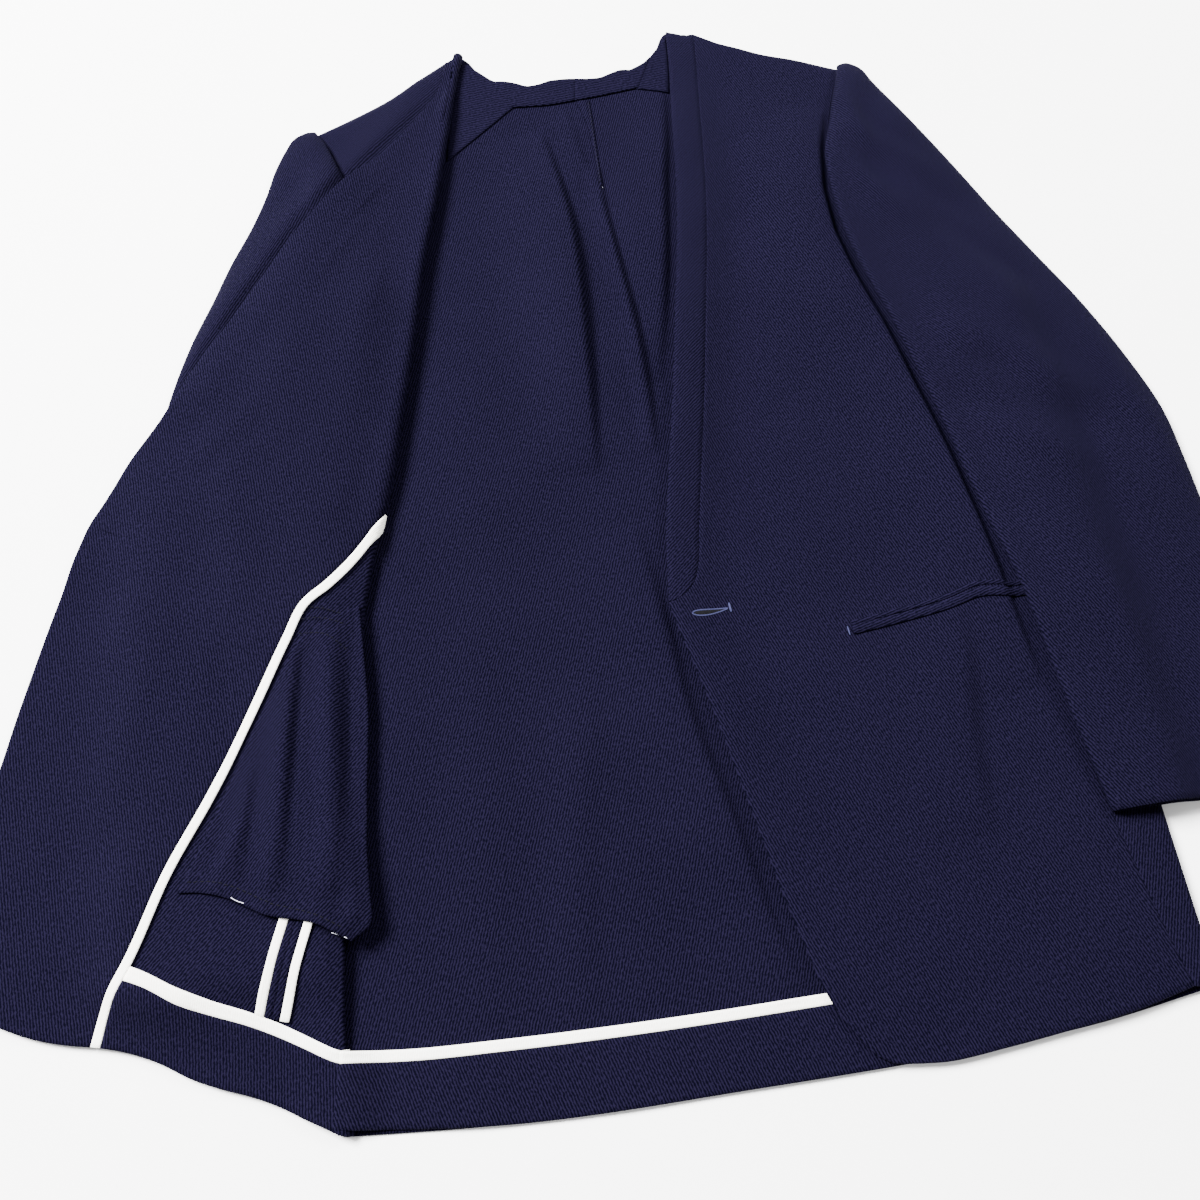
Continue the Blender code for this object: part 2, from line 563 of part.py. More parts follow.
def left_front_parts():
    """The left front's grid, and the band beside it."""
    v_rail = rail(LEFT_V, [0, *V_PLACES])
    inside = v_rail + outward(v_rail) * band_line(v_rail)[:, None]
    shoulder = rail(LEFT_SHOULDER, even(40))
    inside[-1] = shoulder[np.argmin(np.abs(shoulder[:, 0] - inside[-1, 0]))]
    foot = rail(LEFT_HEM, even(FRONT_COLUMNS))
    head = rail([tuple(inside[-1]), *LEFT_SHOULDER[2:]], even(FRONT_COLUMNS))
    left = joined(rail(LEFT_FRONT_EDGE, LEFT_EDGE_PLACES), inside)
    right = joined(rail(LEFT_SIDE_SEAM, even(SEAM_ROWS)), rail(LEFT_ARMHOLE, [0, *ARMHOLE_PLACES]))
    right = right - np.array([GAP / 2, 0])
    foot[-1] = right[0]
    head[-1] = right[-1]
    plan = patch(foot, head, left, right)
    front = lifted(plan, front_height(plan))
    edge = v_rail[1:]
    seam = inside[1:] - outward(v_rail)[1:] * GAP
    seam[-1, 0] -= 5 * SEAM
    strip = np.stack([edge, (edge + seam) / 2, seam], axis=1)
    band = lifted(strip, front_height(strip))
    return front, band


def right_front_parts():
    """The right front as one grid (turned-open cloth, roll, cloth below), its open part and its fold."""
    fold = rail(FRONT_FOLD, FOLD_PLACES)
    aside = outward(fold)
    low = middle_height(fold[:, :2])
    radius = (fold[:, 2] - low) / 2
    core = fold[:, :2] - aside * radius[:, None]
    v_rail = rail(RIGHT_V, [0, *V_PLACES])
    room = BAND_SHARE * np.linalg.norm(v_rail - core[EDGE_ROWS:], axis=1)
    inside = v_rail + outward(v_rail) * np.minimum(band_line(v_rail), room)[:, None]
    edge = joined(rail(RIGHT_FRONT_EDGE, RIGHT_EDGE_PLACES), v_rail)
    inner = joined(rail(RIGHT_FRONT_EDGE, RIGHT_EDGE_PLACES), inside)
    inner[:EDGE_ROWS + 1] += outward(edge)[:EDGE_ROWS + 1] * EDGE_COLUMN
    foot = rail(RIGHT_HEM, even(OPEN_COLUMNS))
    foot[0] = inner[0]
    foot[-1] = core[0]
    head = inner[-1] + (core[-1] - inner[-1]) * even(OPEN_COLUMNS)[:, None]
    plan = patch(foot, head, inner, core)
    plan = np.concatenate([edge[:, None], plan], axis=1)
    opened = lifted(plan, draped(plan, fold[:, 2]))
    rolled = []
    for step in range(1, ROLL_STEPS):
        angle = math.pi * step / ROLL_STEPS
        out = core + aside * (radius * math.sin(angle))[:, None]
        rolled.append(lifted(out, low + radius + radius * math.cos(angle))[:, None])
    end = joined(rail(RIGHT_SIDE, even(SEAM_ROWS)), rail(RIGHT_ARMHOLE, [0, *ARMHOLE_PLACES]))
    end = rail(end, FOLD_PLACES) + np.array([EDGE_COLUMN, 0])
    end[:2] = core[:2] + np.array(CORNER_END)
    shoulder = rail(RIGHT_SHOULDER[::-1], even(MIDDLE_COLUMNS))
    shoulder[0] = core[-1]
    shoulder[-1] = end[-1]
    hem = core[0] + (end[0] - core[0]) * even(MIDDLE_COLUMNS)[:, None]
    under = patch(hem, shoulder, core, end)
    lower = lifted(under, middle_height(under))
    lower[:, 0, 2] = low
    grid = np.concatenate([opened, *rolled, lower], axis=1)
    return grid, opened, fold


def facing_stops(grid, last):
    """For each row of the right front: the lengths to its roll's start and end, and to the facing's edge."""
    edge = np.array(FACING_EDGE, float)
    stops = []
    for points in grid:
        run = row_length(points)
        start = run[last]
        end = run[last + ROLL_STEPS]
        up = points[last, 1]
        stop = start + min(TIP_SLOPE * max(up - TIP_UP, 0), TIP_WRAP * (end - start))
        if up <= TIP_UP:
            dense = np.linspace(0, start, 400)
            across = np.interp(dense, run, points[:, 0])
            level = np.interp(dense, run, points[:, 1])
            beyond = across > np.interp(level, edge[:, 1], edge[:, 0])
            stop = dense[np.argmax(beyond)] if beyond.any() else start
        stops.append((start, end, stop))
    return np.array(stops)


def between_rows(grid, level):
    """A row of a grid, or one part of the way to the next row."""
    row = min(int(level), len(grid) - 2)
    part = level - row
    return grid[row] * (1 - part) + grid[row + 1] * part


def overlay(grid, last, levels, starts, ends, rise):
    """A piece on rows of the right front between two lengths along them, sharing the front's columns."""
    normals = normals_of(grid)
    number = np.arange(last + ROLL_STEPS + 1)
    rows = []
    for level, start, end in zip(levels, starts, ends):
        points = between_rows(grid, level)
        low = start + PACKED_COLUMN * number
        high = end - PACKED_COLUMN * number[::-1]
        at = np.clip(row_length(points)[: len(number)], low, high)
        rows.append(along_row(points, between_rows(normals, level), at, rise))
    return np.array(rows)


def facing_parts(grid, last):
    """The right front's facing, its hem and their bindings."""
    normals = normals_of(grid)
    starts, ends, stops = facing_stops(grid, last).T
    levels = np.arange(len(grid))
    facing = overlay(grid, last, levels, np.full(len(grid), FACING_INSET), stops, LAY + HANG_GAP)
    tangent = np.gradient(facing[:, -1, :2], axis=0)
    tangent /= np.linalg.norm(tangent, axis=1, keepdims=True)
    way = grid[:, last, :2] - grid[:, 1, :2]
    way /= np.linalg.norm(way, axis=1, keepdims=True)
    lean = np.abs(way[:, 0] * tangent[:, 1] - way[:, 1] * tangent[:, 0])
    fars = np.minimum(stops + BINDING_WIDTH / np.maximum(lean, LEAST_LEAN), starts + TIP_REACH)
    strips = []
    for row in range(int(np.argmax(stops > starts + TIP_LEAST))):
        at = np.linspace(stops[row] + SEAM, fars[row], 5)
        strips.append(along_row(grid[row], normals[row], at, LAY + BINDING_RISE + HANG_GAP))
    binding = np.array(strips)

    low = HEM_LEVEL - HEM_BINDING_REACH
    high = HEM_LEVEL + HEM_BINDING_REACH
    sides = starts + (ends - starts) / 2
    pieces = [facing, binding]
    hem_rows = [0, 1, 2, 3, low - HEM_ROW_GAP]
    for rows, rise in ((hem_rows, LAY), ([low, HEM_LEVEL, high], LAY + BINDING_RISE)):
        left = np.interp(rows, levels, fars) + 2 * SEAM
        right = np.interp(rows, levels, sides)
        pieces.append(overlay(grid, last, rows, left, right, rise + HANG_GAP))
    return pieces


def laid_on(surface, plan, rise):
    """A grid that lies on a surface, given by plan points and its rise over the surface."""
    return lifted(plan, height_on(surface, plan) + rise)


def strip_plan(centre, width, columns=2):
    """Plan points of a strip along a centre line."""
    offsets = np.linspace(-width / 2, width / 2, columns + 1)
    return centre[:, None] + outward(centre)[:, None] * offsets[None, :, None]


def between(foot, head, rows):
    """Plan points in rows from one rail to another."""
    part = even(rows)[:, None, None]
    return (1 - part) * foot[None] + part * head[None]


def shelf_of(opened, fold):
    """The turned-open cloth carried on level past its fold, for what lies near the fold."""
    aside = outward(fold)
    beyond = [opened[:, -1] + np.pad(aside * reach, ((0, 0), (0, 1))) for reach in SHELF_REACH]
    return np.concatenate([opened, np.stack(beyond, axis=1)], axis=1)


def sleeve_grids(table, rest, side):
    """A sleeve's upper and under cloths: side is 1 for the left one and -1 for the right."""
    ups = np.array([row[0] for row in table], float)
    rows = rail(np.stack([ups, np.zeros(len(ups))], axis=1), SLEEVE_PLACES)[:, 0]
    inner = table_column(table, 1, rows)
    outer = table_column(table, 2, rows)
    rise = table_column(table, 3, rows)
    turn = math.pi * (1 - even(SLEEVE_COLUMNS))
    spread = np.sign(np.cos(turn)) * np.abs(np.cos(turn)) ** (2 / SLEEVE_POWER)
    dome = np.abs(np.sin(turn)) ** (2 / SLEEVE_POWER)
    dome[[0, -1]] = 0
    share = (spread + 1) / 2
    across = inner[:, None] + (outer - inner)[:, None] * share
    plan = np.stack([across, np.repeat(rows[:, None], len(share), axis=1)], axis=-1)
    upper = lifted(plan, rest(plan) + rise[:, None] * dome)
    rows = rows[UNDER_START:]
    inset = SLEEVE_INSET * side
    share = even(UNDER_COLUMNS)
    near = inner[UNDER_START:] + inset
    across = near[:, None] + (outer[UNDER_START:] - inset - near)[:, None] * share
    plan = np.stack([across, np.repeat(rows[:, None], len(share), axis=1)], axis=-1)
    under = lifted(plan, rest(plan) + WALL / 2)
    order = slice(None, None, -1)
    grids = [upper[order], under[order]]
    if side < 0:
        grids = [grid[:, order] for grid in grids]
    return grids


def button_mesh():
    """A turned button: a disc with a raised rim, before its four holes are cut."""
    mesh = bpy.data.meshes.new("button")
    work = bmesh.new()
    radius = BUTTON_DIAMETER / 2
    profile = [(0, 0), (radius - 1.2, 0), (radius, 1.2), (radius, BUTTON_THICKNESS - 0.6),
               (radius - 0.6, BUTTON_THICKNESS), (radius - 1.8, BUTTON_THICKNESS),
               (radius - 2.6, BUTTON_WELL), (0, BUTTON_WELL)]
    points = [work.verts.new((x * MM, 0, z * MM)) for x, z in profile]
    edges = [work.edges.new((a, b)) for a, b in zip(points, points[1:])]
    bmesh.ops.spin(work, geom=points + edges, cent=(0, 0, 0), axis=(0, 0, 1), angle=2 * math.pi, steps=24,
                   use_merge=True)
    bmesh.ops.remove_doubles(work, verts=work.verts, dist=1e-6)
    bmesh.ops.recalc_face_normals(work, faces=work.faces)
    work.to_mesh(mesh)
    work.free()
    return mesh


def drill_holes(button, parent):
    """Four sewing holes, cut by a wire-drawn cutter."""
    work = bmesh.new()
    radius = SEWING_HOLE / 2 * MM
    reach = SEWING_HOLE_PLACE * MM
    for turn in range(4):
        angle = math.pi / 4 + turn * math.pi / 2
        place = Matrix.Translation((reach * math.cos(angle), reach * math.sin(angle), BUTTON_WELL / 2 * MM))
        bmesh.ops.create_cone(work, cap_ends=True, segments=10, radius1=radius, radius2=radius,
                              depth=2 * BUTTON_THICKNESS * MM, matrix=place)
    mesh = bpy.data.meshes.new("button_cutter")
    work.to_mesh(mesh)
    work.free()
    cutter = bpy.data.objects.new("button_cutter", mesh)
    bpy.context.scene.collection.objects.link(cutter)
    cutter.parent = parent
    cutter.location = button.location
    cutter.hide_render = True
    cutter.display_type = "WIRE"
    holes = button.modifiers.new("sewing_holes", "BOOLEAN")
    holes.operation = "DIFFERENCE"
    holes.object = cutter


def slot_loop(centre, way, length, width, count=24):
    """A long loop with round ends, as plan points."""
    way = np.array(way) / np.linalg.norm(way)
    aside = np.array([-way[1], way[0]])
    radius = width / 2
    angle = 2 * math.pi * (np.arange(count) + 0.5) / count
    along = radius * np.cos(angle) + (length / 2 - radius) * np.sign(np.cos(angle))
    return np.array(centre) + along[:, None] * way + radius * np.sin(angle)[:, None] * aside


def inside_pieces(back, shelf, twill, tape, parent):
    """What lies inside: back hem, side seam, pocket bag, neck band, shoulder facings and dart."""
    binding_rise = LAY + BINDING_RISE
    flat = back[:, :BACK_COLUMNS + 1]

    line = rail(BACK_HEM_LINE, even(12))
    foot = rail([BACK_HEM_ENDS[0], *BACK_HEM[1:-1], BACK_HEM_ENDS[1]], even(12))
    head = line + outward(line) * (BINDING_WIDTH / 2 + SEAM)
    cloth("back_hem", laid_on(flat, between(foot, head, 3), LAY), twill, parent)
    cloth("back_hem_binding", laid_on(flat, strip_plan(line, BINDING_WIDTH), binding_rise), tape, parent,
          BINDING_WALL)

    middle = rail(SIDE_SEAM_INSIDE, even(4))
    aside = outward(middle)
    for name, out in (("front", -1), ("back", 1)):
        allowance = middle + aside * out * (SEAM / 2 + ALLOWANCE / 2)
        strip = strip_plan(allowance, ALLOWANCE, 1)
        cloth("side_allowance_" + name, laid_on(shelf, strip, LAY + HANG_GAP), twill, parent)
        tape_line = middle + aside * out * (SEAM * 1.5 + ALLOWANCE + SIDE_BINDING / 2)
        strip = laid_on(shelf, strip_plan(tape_line, SIDE_BINDING, 1), binding_rise + HANG_GAP)
        cloth("side_binding_" + name, strip, tape, parent, BINDING_WALL)

    bag_foot = rail(BAG_LINE, even(10))
    bag_head = rail(BAG_TOP, even(10))
    left = rail(BAG_LEFT, even(12))
    right = rail(BAG_RIGHT, even(12))
    plan = patch(bag_foot, bag_head, left, right)
    rise = LAY + BAG_RISE * ramp(plan[..., 1], *BAG_RISE_UP) + folds(plan, BAG_FOLDS)
    cloth("pocket_bag", laid_on(shelf, plan, rise), twill, parent)

    top = rail(NECK_BAND_TOP, even(14))
    foot = rail(NECK_BAND_FOOT, even(14))
    band = laid_on(flat, between(foot, top, 2), LAY)
    left_half = band[:, :8].copy()
    left_half[:, -1, 0] -= SEAM / 2
    right_half = band[:, 7:].copy()
    right_half[:, 0, 0] += SEAM / 2
    cloth("back_neck_band_right", left_half, twill, parent)
    cloth("back_neck_band_left", right_half, twill, parent)
    for name, corners in (("right", RIGHT_SHOULDER_FACING), ("left", LEFT_SHOULDER_FACING)):
        left, right = (rail(side, even(6)) for side in corners)
        plan = np.stack([left, (left * 2 + right) / 3, (left + right * 2) / 3, right], axis=1)
        cloth(name + "_shoulder_facing", laid_on(flat, plan, LAY), twill, parent)
    plan = np.stack([rail(DART_FOLD, even(8)), rail(DART_STITCHES, even(8))], axis=1)[::-1]
    cloth("back_dart", laid_on(flat, plan, LAY), twill, parent, DART_WALL)


def outside_pieces(front, twill, thread, horn, parent):
    """What lies on the outer side: the pocket's lips, the buttonhole, and the button under the front."""
    for name, line in (("upper", UPPER_JET), ("lower", LOWER_JET)):
        strip = strip_plan(rail(line, even(10)), JET_WIDTH, 1)
        rise = WALL / 2 + SEAM + JET_WALL / 2
        jet = laid_on(front, strip, rise)
        cloth("left_pocket_" + name + "_jet", jet, twill, parent, JET_WALL)

    outer = slot_loop(BUTTONHOLE_PLACE, BUTTONHOLE_WAY, BUTTONHOLE_LENGTH, BUTTONHOLE_WIDTH)
    inner = slot_loop(BUTTONHOLE_PLACE, BUTTONHOLE_WAY, BUTTONHOLE_LENGTH - 2 * BUTTONHOLE_RIM,
                      BUTTONHOLE_WIDTH - 2 * BUTTONHOLE_RIM)
    low = height_on(front, outer) + WALL / 2 + SEAM
    ring("buttonhole", outer, inner, low, low + BUTTONHOLE_WALL, thread, parent)

    button = add_object("button", button_mesh(), horn, parent)
    button.location = (BUTTON_PLACE[0] * MM, BUTTON_PLACE[1] * MM, TABLE_GAP * MM)
    drill_holes(button, parent)


def rest_at_origin():
    """Moves the pieces so that the middle of the base of the jacket's box is at the origin."""
    pieces = [piece for piece in bpy.data.objects if piece.type == "MESH"]
    points = np.array([
        piece.location + vertex.co
        for piece in pieces
        if not piece.hide_render
        for vertex in piece.data.vertices
    ])
    low = points.min(axis=0)
    high = points.max(axis=0)
    shift = Matrix.Translation((-(low[0] + high[0]) / 2, -(low[1] + high[1]) / 2, -low[2]))
    for piece in pieces:
        piece.data.transform(shift @ Matrix.Translation(piece.location))
        piece.location = (0, 0, 0)
    print("moved by", tuple(round(value, 6) for value in shift.translation))


def main():
    for old in list(bpy.data.objects):
        bpy.data.objects.remove(old)
    twill = finish("navy_wool_twill", 0.0135, 0.0120, 0.0420, 0.85)
    tape = finish("white_binding_tape", 0.80, 0.79, 0.74, 0.7)
    thread = finish("slate_silk_thread", 0.09, 0.10, 0.16, 0.6)
    horn = finish("navy_polyester_button", 0.012, 0.012, 0.03, 0.3)
    jacket = bpy.data.objects.new("jacket", None)
    bpy.context.scene.collection.objects.link(jacket)

    back = back_grid()
    cloth("back", back, twill, jacket)

    front, band = left_front_parts()
    cloth("left_front", front, twill, jacket)
    cloth("left_neck_band", band, twill, jacket)

    grid, opened, fold = right_front_parts()
    last = opened.shape[1] - 1
    cloth("right_front", grid[:, 1:], twill, jacket)
    strip = opened[EDGE_ROWS + 1:, :2]
    aside = np.pad(outward(strip[:, 1]) * GAP, ((0, 0), (0, 1)))
    cloth("right_neck_band", np.stack([strip[:, 0], strip[:, 1] - aside], axis=1), twill, jacket)
    facing, binding, hem, hem_binding = facing_parts(grid, last)
    cloth("right_front_facing", facing, twill, jacket)
    cloth("facing_binding", binding, tape, jacket, BINDING_WALL)
    cloth("right_front_hem", hem, twill, jacket)
    cloth("front_hem_binding", hem_binding, tape, jacket, BINDING_WALL)
    inside_pieces(back, shelf_of(opened, fold), twill, tape, jacket)
    outside_pieces(front, twill, thread, horn, jacket)

    sleeves = (("left", LEFT_SLEEVE, left_rest, 1), ("right", RIGHT_SLEEVE, right_rest, -1))
    for name, table, rest, side in sleeves:
        upper, under = sleeve_grids(table, rest, side)
        cloth(name + "_sleeve_top", upper, twill, jacket)
        cloth(name + "_sleeve_under", under, twill, jacket)
    rest_at_origin()


main()
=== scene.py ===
# %% [markdown]
# # A collarless wool jacket, laid flat with one front folded open
#
# The real jacket lies on its back on a pale surface. Its left front lies closed and right side out. Its
# right front is folded down its middle and turned open, so that the inside shows: the facing, the pocket
# bag, and the white binding of the raw edges. The lesson builds every cut piece of cloth as a thin shell,
# gives it the weave of the real cloth, sews it with visible thread and lights it softly.
#
# Left and right are the wearer's. Sizes are in millimetres: across from the centre back, up from the level
# of the neck points (so places down the garment are negative), and off the surface.

import math

import bpy
import numpy as np
from mathutils import Matrix, Vector
from mathutils.bvhtree import BVHTree


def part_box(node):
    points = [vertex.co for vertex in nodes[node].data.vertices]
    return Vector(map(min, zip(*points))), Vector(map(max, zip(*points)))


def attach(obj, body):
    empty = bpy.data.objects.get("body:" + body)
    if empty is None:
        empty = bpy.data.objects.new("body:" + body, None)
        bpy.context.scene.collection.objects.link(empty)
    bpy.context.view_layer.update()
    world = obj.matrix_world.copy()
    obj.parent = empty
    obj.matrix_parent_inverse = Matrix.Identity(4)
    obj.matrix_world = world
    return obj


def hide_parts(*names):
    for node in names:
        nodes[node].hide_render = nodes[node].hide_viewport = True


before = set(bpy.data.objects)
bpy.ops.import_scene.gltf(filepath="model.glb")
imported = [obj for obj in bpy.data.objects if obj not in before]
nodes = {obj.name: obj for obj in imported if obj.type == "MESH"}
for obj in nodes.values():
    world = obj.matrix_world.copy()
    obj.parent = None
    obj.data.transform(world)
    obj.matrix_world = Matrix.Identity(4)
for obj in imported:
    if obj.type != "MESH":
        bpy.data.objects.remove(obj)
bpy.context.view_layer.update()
print("solids to dress:", len(nodes))

# %% [markdown]
# ## Sizes
#
# A garment is drafted from a few widths: the cloth's thickness, the band round the neck, the binding tape.
# One thickness serves every panel, and each next layer lies one thickness and a small gap higher.

# %% Cloth and trimming sizes
MM = 0.001
WALL = 1.2
GAP = 0.4
LAY = WALL + GAP
SEAM = 0.3
HANG_GAP = 0.45

BAND_WIDTH = 20.0
BAND_END = 9.0
BINDING_RISE = 0.3
JET_CLEAR = 1.6
JET_REACH = (30.0, 40.0)
POCKET_END = (224.0, -480.0)
BUTTON_DIAMETER = 18.0
BUTTON_THICKNESS = 3.4
BUTTON_PLACE = (-337.0, -367.0)
BUTTON_MARGIN = 4.0
ALLOWANCE = 3.6
TAPE_WALL = 1.0
TAPE_WIDTH = 5.4
SIDE_TAPE_WIDTH = 4.4
RIM_ROOM = 0.8
print("panel wall:", WALL, "mm; one layer above another:", LAY, "mm")

# %% [markdown]
# ## Where the cut pieces lie
#
# Each table is a seam or an edge, seen from straight above. Blender could trace such lines with curve
# objects, but a short table of measured places and one smooth curve through them is easier to correct.

# %% Outlines of the panels: across, up
LEFT_SHOULDER = [(76, -5), (91, -12), (112, -24), (141, -37), (164, -46), (183, -55), (194, -60)]
RIGHT_SHOULDER = [(-187, -64), (-165, -55), (-142, -45), (-112, -26), (-99, -17), (-78, -6)]
BACK_NECK = [(-78, -6), (-68, -20), (-57, -32), (-34, -39), (0, -40), (34, -38), (58, -29), (69, -17),
             (76, -5)]
BACK_HEM = [(-213, -722), (-140, -728), (0, -731), (120, -730), (190, -726), (251, -718)]
RIGHT_SIDE = [(-213, -722), (-221, -600), (-229, -450), (-236, -330), (-240, -262)]
RIGHT_ARMHOLE = [(-240, -262), (-218, -236), (-190, -205), (-172, -170), (-167, -140), (-173, -105),
                 (-181, -80), (-187, -64)]
LEFT_SIDE = [(251, -718), (251, -650), (251, -520), (248, -380), (242, -300), (236, -262)]
LEFT_ARMHOLE = [(236, -262), (216, -236), (192, -205), (175, -172), (171, -140), (177, -105),
                (186, -80), (194, -60)]
LEFT_SIDE_SEAM = [(240, -716), (235, -690), (229, -650), (225, -621), (221, -560), (220, -480),
                  (223, -380), (230, -300), (236, -262)]
LEFT_HEM = [(73, -730), (99, -733), (133, -731), (174, -727), (207, -723), (240, -716)]
LEFT_FRONT_EDGE = [(73, -730), (64, -724), (56, -712), (49, -700), (37, -656), (25, -590), (12, -517),
                   (4, -479), (0, -457)]
LEFT_V = [(0, -457), (6, -412), (17, -360), (29, -305), (39, -254), (50, -199), (60, -137), (66, -87),
          (73, -34), (76, -5)]
RIGHT_HEM = [(-408, -633), (-393, -641), (-369, -652), (-341, -659), (-317, -667), (-289, -684),
             (-254, -699), (-225, -716), (-214, -722)]
RIGHT_FRONT_EDGE = [(-408, -633), (-416, -620), (-419, -600), (-416, -575), (-409, -540), (-396, -497),
                    (-384, -457), (-372, -422), (-354, -373), (-344, -351)]
RIGHT_V = [(-344, -351), (-332, -334), (-318, -312), (-297, -286), (-268, -243), (-247, -217),
           (-220, -181), (-197, -152), (-168, -119), (-151, -104), (-133, -86), (-121, -73), (-108, -59),
           (-99, -45), (-93, -30), (-89, -15)]


# %% Lines of the trimmings: across, up
FACING_EDGE = [(-347, -662), (-341, -644), (-324, -615), (-303, -573), (-278, -534), (-254, -493),
               (-230, -447), (-217, -425), (-203, -415), (-177, -388), (-162, -365), (-158, -352)]
BACK_HEM_LINE = [(-214.5, -683.5), (-173, -688), (-133, -690), (-78, -692), (-16, -693), (47, -693),
                 (120, -693), (200, -689), (236, -683)]
NECK_BAND_TOP = [(-57, -33), (-45, -35), (-32, -41), (-12, -38), (1, -39), (20, -41), (37, -36),
                 (46, -37), (60, -27)]
NECK_BAND_FOOT = [(-47, -58), (-35, -59), (-19, -60), (-2, -59), (12, -58), (31, -56), (47, -54)]
BAG_LINE = [(-295, -586), (-281, -588), (-268, -593), (-248, -605), (-221, -614), (-203, -626)]
BAG_TOP = [(-219, -449), (-206, -441), (-184, -432)]
BAG_LEFT = [(-295, -586), (-276, -552), (-256, -515), (-236, -478), (-219, -449)]
BAG_RIGHT = [(-203, -626), (-193, -618), (-192, -590), (-189, -544), (-184.5, -500), (-184, -455),
             (-184, -432)]
SIDE_SEAM_INSIDE = [(-242.5, -639), (-236, -622), (-229.5, -606)]
FACING_ENDS = {
    "right": [[(-97, -100), (-92.5, -72), (-86.7, -47), (-81, -24), (-76.5, -11)],
              [(-45.5, -58.6), (-50, -46.2), (-55, -34.5)]],
    "left": [[(45.5, -54.4), (51.5, -41), (58, -29.5)],
             [(68, -62), (70, -50), (71.5, -38), (73, -26), (74, -11)]],
}
DART_FOLD = [(1.5, -60), (4.5, -76), (6.6, -92), (6.9, -118), (6.3, -142)]
DART_STITCHES = [(10, -60), (9.6, -76), (9, -94), (8, -118), (7, -142)]

# %% The fold of the right front: across, up, height of the upper cloth
FRONT_FOLD = [(-213, -722, 4.4), (-212, -676, 5.0), (-208, -626, 6.0), (-200, -560, 7.5),
              (-192, -500, 8.5), (-185, -450, 9.5), (-173, -399, 10.5), (-159, -350, 11.0),
              (-146, -294, 11.5), (-136, -251, 11.5), (-126, -200, 11.5), (-112, -146, 11.0),
              (-99, -94, 10.0), (-90, -55, 8.5), (-83, -25, 7.5), (-78, -8, 7.0)]


# %% Sections of the sleeves: up, inner edge, outer edge, rise of the upper cloth
LEFT_SLEEVE = [(-60, 193, 200, 3), (-66, 191, 208, 6), (-78, 187, 214, 10), (-94, 181, 221.5, 13),
               (-115, 174, 231, 15), (-142, 164.5, 244, 16), (-176, 161, 259, 16),
               (-208, 161.5, 273, 15), (-240, 166.5, 288, 15), (-283, 177, 308, 14),
               (-331, 186, 326, 13), (-373, 193, 337, 12.5),
               (-406, 197, 339, 12.5), (-438, 202, 340, 12), (-478, 209, 341, 11), (-518, 213, 343, 10),
               (-560, 217, 345, 9.5), (-619, 224, 348, 9)]
RIGHT_SLEEVE = [(-64, -187, -193, 2.5), (-68, -185, -201, 4.5), (-76, -181, -208, 6.5),
                (-90, -176, -215.5, 8), (-114, -169, -224, 9), (-139, -164, -235, 9.5),
                (-171, -161, -252, 10), (-197, -161, -264, 9.5), (-223, -163, -277, 9),
                (-250, -168, -288, 9),
                (-284, -175, -299, 8.5), (-330, -182, -311, 8.5), (-373, -187, -318, 8.5),
                (-406, -190, -320, 8.5), (-438, -194, -321, 8), (-478, -200, -324, 8), (-518, -206, -326, 8),
                (-560, -212, -329, 7.5), (-612, -220, -334, 7.5)]


# %% The body's edge under each sleeve: up, across
LEFT_BODY_EDGE = [(-60, 194), (-80, 188), (-105, 181), (-140, 177), (-172, 181), (-205, 197), (-236, 221),
                  (-262, 243), (-300, 249), (-450, 254), (-720, 255)]
RIGHT_BODY_EDGE = [(-64, -187), (-80, -183), (-105, -177), (-140, -172), (-170, -177), (-205, -194),
                   (-236, -222), (-262, -242), (-330, -238), (-450, -231), (-600, -223), (-722, -215)]


# %% [markdown]
# ## Curves, patches and soft folds
#
# `rail` gives points along a smooth curve through a table. `patch` fills four such edges with a grid, which
# is what a pattern piece is. `folds` gives the rise of soft folds: a bell across each fold, fading at both
# ends. Sculpting could do the same, but a row in a table can be measured and moved.

# %% Curves through tables
def spline(keys, values, at, slopes=None):
    """Values read at some keys from a smooth curve through a table."""
    keys = np.asarray(keys, float)
    values = np.asarray(values, float)
    at = np.asarray(at, float)
    if slopes is None:
        slopes = np.gradient(values, keys, axis=0)
    index = np.clip(np.searchsorted(keys, at, side="right") - 1, 0, len(keys) - 2)
    step = keys[index + 1] - keys[index]
    part = (at - keys[index]) / step
    if values.ndim == 2:
        step = step[:, None]
        part = part[:, None]
    rest = 1 - part
    return (
        (1 + 2 * part) * rest**2 * values[index]
        + part * rest**2 * step * slopes[index]
        + part**2 * (3 - 2 * part) * values[index + 1]
        - part**2 * rest * step * slopes[index + 1]
    )


def row_length(points):
    """The length along a row of points, from its start to each of them."""
    return np.concatenate(([0], np.cumsum(np.linalg.norm(np.diff(points, axis=0), axis=1))))


def rail(rows, places):
    """Points at places from 0 to 1 along a smooth curve through a table's rows."""
    rows = np.asarray(rows, float)
    along = row_length(rows[:, :2])
    return spline(along, rows, np.asarray(places) * along[-1])


def even(count):
    """Places from 0 to 1 at the ends of a number of equal parts."""
    return np.linspace(0, 1, count + 1)


def joined(*rails):
    """Rails that follow each other, each sharing its first point with the last one's end."""
    return np.concatenate([rails[0], *(points[1:] for points in rails[1:])])


# %% Grids of plan points
def patch(foot, head, left, right):
    """Plan points between four edges: rows run from foot to head, columns from left to right."""
    across = np.linspace(0, 1, len(foot))[None, :, None]
    up = np.linspace(0, 1, len(left))[:, None, None]
    sides = (1 - across) * left[:, None] + across * right[:, None]
    ends = (1 - up) * foot[None] + up * head[None]
    corners = (
        (1 - across) * (1 - up) * foot[0]
        + across * (1 - up) * foot[-1]
        + (1 - across) * up * head[0]
        + across * up * head[-1]
    )
    return sides + ends - corners


